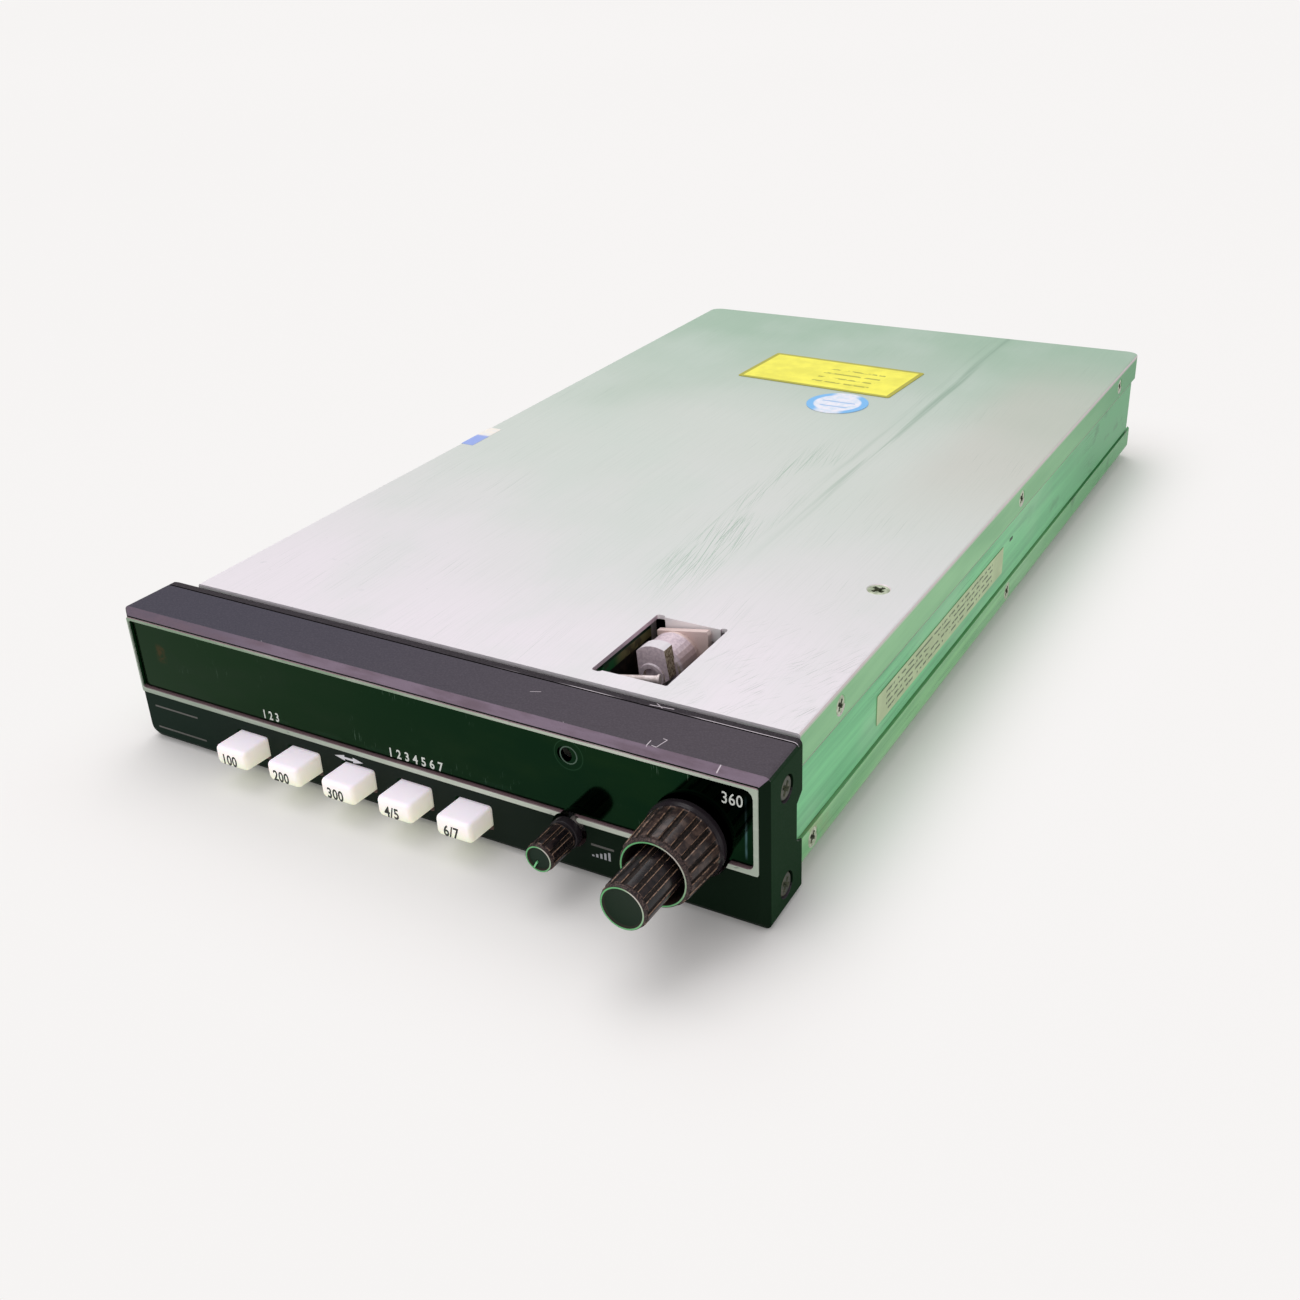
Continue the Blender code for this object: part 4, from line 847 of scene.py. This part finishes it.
def screw_head(node, outward, material, recess):
    """Screw head with a crossed recess, seen along outward: '+X', '-X' or '+Z'."""
    low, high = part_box(node)
    middle = (low + high) / 2
    axis = "XYZ".index(outward[1])
    sign = 1 if outward[0] == "+" else -1
    across = [index for index in range(3) if index != axis]
    radius = (high[across[0]] - low[across[0]]) / 2
    top = high[axis] if sign > 0 else low[axis]
    deep = abs(high[axis] - low[axis])
    count = 33
    bm = bmesh.new()
    grid = {}
    depth = {}

    def point(u, v, height):
        place = [0.0, 0.0, 0.0]
        place[across[0]] = middle[across[0]] + u * radius
        place[across[1]] = middle[across[1]] + v * radius
        place[axis] = top + sign * height
        return bm.verts.new(place)

    for row in range(count):
        for column in range(count):
            u, v = 2 * column / (count - 1) - 1, 2 * row / (count - 1) - 1
            disc_u, disc_v = u * math.sqrt(1 - v * v / 2), v * math.sqrt(1 - u * u / 2)
            turned_u = disc_u * RECESS_TURN[0] - disc_v * RECESS_TURN[1]
            turned_v = disc_u * RECESS_TURN[1] + disc_v * RECESS_TURN[0]
            reach = math.hypot(disc_u, disc_v)
            arm_v = max(abs(turned_u) - ARM_HALF_WIDTH, abs(turned_v) - ARM_REACH)
            arm_u = max(abs(turned_v) - ARM_HALF_WIDTH, abs(turned_u) - ARM_REACH)
            sunk = min(1.0, max(0.0, 0.5 - min(arm_u, arm_v) / RECESS_EDGE))
            edge = max(0.0, reach - ROUNDED_FROM) / (1 - ROUNDED_FROM)
            height = -RECESS_DEPTH * radius * sunk - EDGE_DROP * radius * edge * edge
            grid[row, column] = point(disc_u, disc_v, height)
            depth[row, column] = sunk
    for row in range(count - 1):
        for column in range(count - 1):
            corners = ((row, column), (row, column + 1), (row + 1, column + 1), (row + 1, column))
            face = bm.faces.new([grid[corner] for corner in corners])
            # faces in the cross recess get the second material, a painted shade
            face.material_index = 1 if max(depth[corner] for corner in corners) > 0.3 else 0
    border = [grid[0, c] for c in range(count)] + [grid[r, count - 1] for r in range(1, count)]
    border += [grid[count - 1, c] for c in range(count - 2, -1, -1)]
    border += [grid[r, 0] for r in range(count - 2, 0, -1)]
    below = []
    for vertex in border:
        place = list(vertex.co)
        for index in across:
            place[index] = middle[index] + (place[index] - middle[index]) * NECK
        place[axis] = top - sign * deep
        below.append(bm.verts.new(place))
    for index in range(len(border)):
        after = (index + 1) % len(border)
        bm.faces.new((border[index], border[after], below[after], below[index]))
    bm.faces.new(below)
    obj = piece(f"head_of_{node}", bm, material, RECEIVER, (node,), smooth=30.0)
    obj.data.materials.append(recess)
    return obj


def build_screws():
    plated = plain_metal("screw_plating", (136, 148, 118), (206, 214, 190), 1.4, (0.28, 0.45), 0.3)
    dull = plain_metal("screw_dull", (20, 34, 22), (74, 70, 50), 1.2, (0.35, 0.55), 0.2)
    # painted shade for the cross recesses
    recess = moulded("screw_recess_shade", (44, 54, 36), (90, 96, 70), 0.6)
    for side, outward in (("right", "+X"), ("left", "-X")):
        for index in (1, 2):
            screw_head(f"bezel_screw_{side}_{index}", outward, dull, recess)
            screw_head(f"lower_screw_{side}_{index}", outward, plated, recess)
        for index in (1, 2, 3):
            screw_head(f"upper_screw_{side}_{index}", outward, plated, recess)
    screw_head("cover_screw", "+Z", plated, recess)


# ---------------------------------------------------------------- marks
INK_HALF = 0.012  # half the thickness of raised ink, in mm
INK_LIFT = 0.015


def numerals(name, text, centre, height, material, body=RECEIVER, narrow=0.72, y=0.0, bold=0.0):
    """Generic figures on a front face, as thin raised ink. centre is (x, z), and height is in mm."""
    curve = bpy.data.curves.new(name, "FONT")
    curve.body = text
    curve.align_x = "CENTER"
    curve.align_y = "CENTER"
    curve.size = height * 1.4 * MM
    curve.extrude = INK_HALF * MM
    curve.offset = bold * MM
    curve.resolution_u = 4
    curve.space_character = 1.06
    obj = bpy.data.objects.new(name, curve)
    bpy.context.scene.collection.objects.link(obj)
    turned = Matrix.Rotation(math.radians(90), 4, "X") @ Matrix.Diagonal((narrow, 1, 1, 1))
    obj.matrix_world = Matrix.Translation(at(centre[0], y, centre[1])) @ turned
    bpy.context.view_layer.update()
    bm = bmesh.new()
    evaluated = obj.evaluated_get(bpy.context.evaluated_depsgraph_get())
    mesh = bpy.data.meshes.new_from_object(evaluated)
    bm.from_mesh(mesh)
    bm.transform(obj.matrix_world)
    bpy.data.objects.remove(obj)
    return piece(name, bm, material, body)


def front_bars(name, bars, material, y, body=RECEIVER):
    """Plain upright bars on a front face, each (x, z, width, height) in mm about its middle."""
    bm = bmesh.new()
    for x, z, width, height in bars:
        slab(bm, (x - width / 2, y - INK_HALF, z - height / 2), (x + width / 2, y + INK_HALF, z + height / 2))
    return piece(name, bm, material, body)


def double_arrow(name, x0, x1, z, material, y):
    """Plain two-headed arrow lying along X on a front face."""
    head, half, shaft = 2.7, 0.68, 0.26
    bm = bmesh.new()
    slab(bm, (x0 + head, y - INK_HALF, z - shaft), (x1 - head, y + INK_HALF, z + shaft))
    for tip, base in ((x0, x0 + head), (x1, x1 - head)):
        layers = (y - INK_HALF, y + INK_HALF)
        loft([[(tip, d, z), (base, d, z + half), (base, d, z - half)] for d in layers], bm)
    return piece(name, bm, material)


def build_access_ring(front_y):
    """Pale green-grey edge of the round hole in the lens, as a flat ring."""
    middle_x = centre_mm("latch_paw").x
    middle_z = centre_mm("latch_shaft").z
    inner, outer, thick = 1.72, 1.98, 0.02
    turns = full_turn(40)
    bm = bmesh.new()
    loops = []
    for reach, y in ((inner, front_y), (outer, front_y), (outer, front_y + thick), (inner, front_y + thick)):
        ring = [at(middle_x + reach * math.cos(t), y, middle_z + reach * math.sin(t)) for t in turns]
        loops.append([bm.verts.new(point) for point in ring])
    for first, second in zip(loops, loops[1:] + loops[:1]):
        for index in range(len(turns)):
            after = (index + 1) % len(turns)
            bm.faces.new((first[index], first[after], second[after], second[index]))
    piece("access_ring", bm, ink("hole_edge_tone", tone(58, 86, 68)))


def build_legends():
    """Figures and plain bars in the places of the lettering."""
    # the emission values on these inks are painted light
    white = ink("legend_white", tone(210, 214, 208), 0.06)
    grey = ink("legend_grey", tone(150, 152, 156), 0.12)
    faint = ink("legend_faint", tone(80, 80, 76))
    dark = ink("legend_dark", tone(30, 34, 26))
    panel_y = -INK_LIFT
    lens_y = box_mm("display_lens")[0].y - INK_LIFT
    numerals("legend_field_left", "1 2 3", (-38.9, 15.25), 2.1, white, narrow=0.74, y=lens_y, bold=0.06)
    numerals("legend_field_right", "1 2 3 4 5 6 7", (0.2, 15.1), 2.1, white, narrow=0.86, y=lens_y, bold=0.06)
    numerals("legend_lens_right", "360", (72.2, 26.9), 2.5, white, narrow=0.8, y=lens_y, bold=0.02)
    steps = [(42.2 + 0.92 * step, 5.25 + 0.19 * (step + 1), 0.5, 0.38 * (step + 1)) for step in range(5)]
    front_bars("legend_volume", steps, grey, panel_y)
    front_bars("legend_volume_line", [(44.45, 8.0, 5.1, 0.5)], faint, panel_y)
    front_bars("legend_corner", [(-68.5, 9.0, 13.2, 0.42), (-68.0, 3.4, 15.0, 0.42)], faint, panel_y)
    # painted light: this ink's emission brightens the arrow
    double_arrow("legend_arrow", -21.6, -13.9, 10.5, ink("legend_light", tone(204, 204, 208), 0.1), panel_y)
    for node, body, text in KEYS:
        low, high = box_mm(node)
        middle = (low.x + high.x) / 2
        numerals(f"legend_{node}", text, (middle - 0.5, 6.3), 2.5, dark, body, 0.8, low.y - INK_HALF, 0.08)
    build_access_ring(lens_y)


def build_stickers():
    """Small blue and white sticker on the cover's left edge, and a dark patch of painted shade for a slot in
    the right side.
    """
    top = box_mm("top_cover")[1].z
    sheet = bmesh.new()
    slab(sheet, (-71.4, 116.0, top + 0.01), (-67.5, 130.0, top + 0.06))
    s = Surface("edge_sticker", roughness=0.5)
    pale = s.mix(s.rise(s.noise(3, detail=2), 0.3, 0.7), (250, 240, 226), (238, 236, 236))
    piece("edge_sticker", sheet, s.paint(s.mix(s.rise(s.y, 124.5, 123.0), pale, (150, 172, 236))))
    side = box_mm("right_rail")[1].x
    # painted shade: a dark patch standing in for the shade inside a slot
    mark = bmesh.new()
    slab(mark, (side + 0.01, 141.9, 20.2), (side + 0.05, 144.2, 21.0))
    piece("slot_shade_patch", mark, ink("slot_shade_ink", tone(20, 44, 28)))


# ---------------------------------------------------------------- stage
FLOOR_HALF = 4.0  # metres, as the drop is
FLOOR_DROP = 0.0003
GLOW_FROM, GLOW_TO = -8.0, 36.0  # distance from the object's footprint in mm
CAMERA_ANGLES = (31.21, 28.05, -2.78)  # azimuth, elevation and roll in degrees
CAMERA_AIM = (5.05, 85.96, 0)  # mm
CAMERA_DISTANCE = 0.36214  # metres
CAMERA_LENS = 40.07  # mm


def build_stage():
    """White floor that glows except near the object, a world that darkens upwards, and two soft lamps."""
    bm = bmesh.new()
    bmesh.ops.create_grid(bm, x_segments=1, y_segments=1, size=FLOOR_HALF)
    mesh = bpy.data.meshes.new("floor")
    bm.to_mesh(mesh)
    bm.free()
    floor = bpy.data.objects.new("floor", mesh)
    floor.location.z = CAD_BOX[0][2] - FLOOR_DROP
    s = Surface("floor_paper", roughness=0.9, Specular_IOR_Level=0.0)
    low, high = Vector(CAD_BOX[0]) / MM, Vector(CAD_BOX[1]) / MM
    middle_y = (low.y + high.y) / 2 - FACE_Y / MM
    outside_x = s.maths("MAXIMUM", s.minus(s.absolute(s.x), high.x), 0.0)
    off_middle = s.absolute(s.minus(s.y, middle_y))
    outside_y = s.maths("MAXIMUM", s.minus(off_middle, (high.y - low.y) / 2), 0.0)
    away = s.maths("SQRT", s.plus(s.times(outside_x, outside_x), s.times(outside_y, outside_y)))
    shade = s.mix(s.rise(s.noise(900, detail=1), 0.2, 0.8), (247, 245, 244), (246, 244, 243))
    s.feed(s.shader.inputs["Emission Color"], shade)
    s.feed(s.shader.inputs["Emission Strength"], s.rise(away, GLOW_FROM, GLOW_TO))
    s.paint(s.mix(s.rise(away, GLOW_FROM, GLOW_TO), shade, (0, 0, 0)))
    mesh.materials.append(s.material)
    bpy.context.scene.collection.objects.link(floor)
    world = bpy.data.worlds.new("studio")
    world.use_nodes = True
    world.node_tree.nodes["Background"].inputs["Color"].default_value = (1.0, 0.995, 0.99, 1.0)
    links, new = world.node_tree.links, world.node_tree.nodes.new
    split = new("ShaderNodeSeparateXYZ")
    links.new(new("ShaderNodeTexCoord").outputs["Generated"], split.inputs[0])
    level = new("ShaderNodeMapRange")
    level.interpolation_type = "SMOOTHSTEP"
    for label, value in (("From Min", 0.16), ("From Max", 0.3), ("To Min", 0.93), ("To Max", 0.53)):
        level.inputs[label].default_value = value
    links.new(split.outputs[2], level.inputs["Value"])
    links.new(level.outputs["Result"], world.node_tree.nodes["Background"].inputs["Strength"])
    bpy.context.scene.world = world
    for name, place, size, energy in (
        ("overhead", (-0.5, 0.3, 1.5), (1.6, 1.2), 13.0),
        ("front_soft", (-0.3, -0.9, 1.2), (1.2, 0.8), 3.0),
    ):
        lamp = bpy.data.lights.new(name, "AREA")
        lamp.shape = "RECTANGLE"
        lamp.size, lamp.size_y = size
        lamp.energy = energy
        lamp.color = (1.0, 0.985, 0.99)
        obj = bpy.data.objects.new(name, lamp)
        obj.location = place
        obj.rotation_euler = (-obj.location).to_track_quat("-Z", "Y").to_euler()
        bpy.context.scene.collection.objects.link(obj)
    bpy.context.scene.view_settings.view_transform = "Standard"


def build_camera():
    """Camera at the photograph's angle: seen from the right front, well above the panel."""
    azimuth, elevation, roll = (math.radians(angle) for angle in CAMERA_ANGLES)
    level = math.cos(elevation)
    back = Vector((math.sin(azimuth) * level, -math.cos(azimuth) * level, math.sin(elevation)))
    right = (-back).cross(Vector((0, 0, 1))).normalized()
    up = right.cross(-back)
    side = math.cos(roll) * right + math.sin(roll) * up
    top = -math.sin(roll) * right + math.cos(roll) * up
    camera = bpy.data.cameras.new("camera")
    camera.sensor_width = 36.0
    camera.lens = CAMERA_LENS
    camera.clip_start = 0.01
    obj = bpy.data.objects.new("camera", camera)
    turn = Matrix((side, top, back)).transposed().to_4x4()
    obj.matrix_world = Matrix.Translation(at(*CAMERA_AIM) + back * CAMERA_DISTANCE) @ turn
    bpy.context.scene.collection.objects.link(obj)
    bpy.context.scene.camera = obj


# ---------------------------------------------------------------- the object
BLOCKS = ("tuning_encoder", "volume_control") + tuple(f"key_switch_{index}" for index in range(1, 6))
PINS = ("latch_shaft", "volume_shaft", "outer_tuning_shaft", "inner_tuning_shaft")


def coat_labels():
    """Printed faces of the two labels and the round sticker."""
    low, high = box_mm("data_label")
    half_x, half_y = (high.x - low.x) / 2, (high.y - low.y) / 2
    rows = [(share * half_y, 1.0, -half_x * 0.1, half_x * 0.62, 2.6) for share in (-0.5, -0.22, 0.06, 0.34)]
    yellow = label_face(
        "yellow_label", "data_label", tone(255, 248, 84), tone(160, 156, 40), rows, "x", (24.0, 11.6), -3.2
    )
    coat(yellow, "data_label")
    low, high = box_mm("side_label")
    half_y, half_z = (high.y - low.y) / 2, (high.z - low.z) / 2
    rows = [(half_z * share, 0.55, -half_y * 0.88, half_y * 0.8, 1.6) for share in (-0.62, -0.2, 0.22, 0.62)]
    paper = label_face("pale_label", "side_label", tone(186, 204, 158), tone(66, 84, 60), rows, "y")
    coat(paper, "side_label")
    coat(sticker_face(), "round_sticker")


def coat_all():
    """A material for every CAD node that shows."""
    silver = plain_metal("bare_aluminium", (176, 188, 178), (202, 209, 202), 9.0, (0.34, 0.48), 0.4)
    pale = plain_metal("pin_steel", (196, 184, 178), (230, 220, 216), 0.9, (0.2, 0.36), 0.2)
    coat(cover_metal(), "top_cover")
    # the green tones of the rails and flange are a painted reflection of green surroundings
    coat(side_metal("rail_metal", (88, 176, 118), (128, 214, 152), 4), "left_rail", "right_rail")
    coat(side_metal("flange_metal", (110, 180, 118), (150, 212, 150), 9, 0.6), "bottom_cover")
    coat(silver, "rear_panel", "front_plate")
    coat(bracket_metal(), "latch_bracket")
    coat(bezel_paint(), "bezel")
    coat(trim_paint(), "display_trim", "display_trim_middle")
    coat(lens_plastic(), "display_lens")
    coat(cast_metal(), "latch_paw")
    coat(pale, *PINS)
    coat(moulded("circuit_board", (10, 60, 30), (20, 92, 46), 3.0), "main_board", "switch_board")
    coat(moulded("black_block", (24, 25, 27), (40, 41, 44)), *BLOCKS)
    coat(plain_metal("tinned_can", (150, 152, 148), (204, 204, 198), 4.0), "rf_shield")
    coat(moulded("amber_winding", (120, 66, 28), (176, 110, 52), 1.0), "power_transformer")
    coat(moulded("blue_sleeve", (28, 48, 104), (44, 70, 140), 2.0, (0.2, 0.35)), "filter_capacitor")
    coat(moulded("connector_green", (30, 78, 62), (48, 108, 88), 2.0), "rear_connector")
    brass = plain_metal("brass", (168, 128, 62), (220, 184, 108), 0.8)
    coat(brass, "aerial_connector", "encoder_rotor")
    coat(moulded("display_glass", (8, 12, 10), (22, 30, 26), 2.0, (0.1, 0.2)), "display_tube")
    coat_labels()


coat_all()
soften(("bezel",), 0.3)
soften(("top_cover", "bottom_cover", "left_rail", "right_rail", "rear_panel", "latch_bracket"), 0.16)
soften(("latch_paw",), 0.2)
key_material = key_plastic()
for key_node, key_body, _ in KEYS:
    key_cap(key_node, key_body, key_material)
build_knobs()
build_latch()
build_screws()
build_legends()
build_stickers()
build_stage()
build_camera()
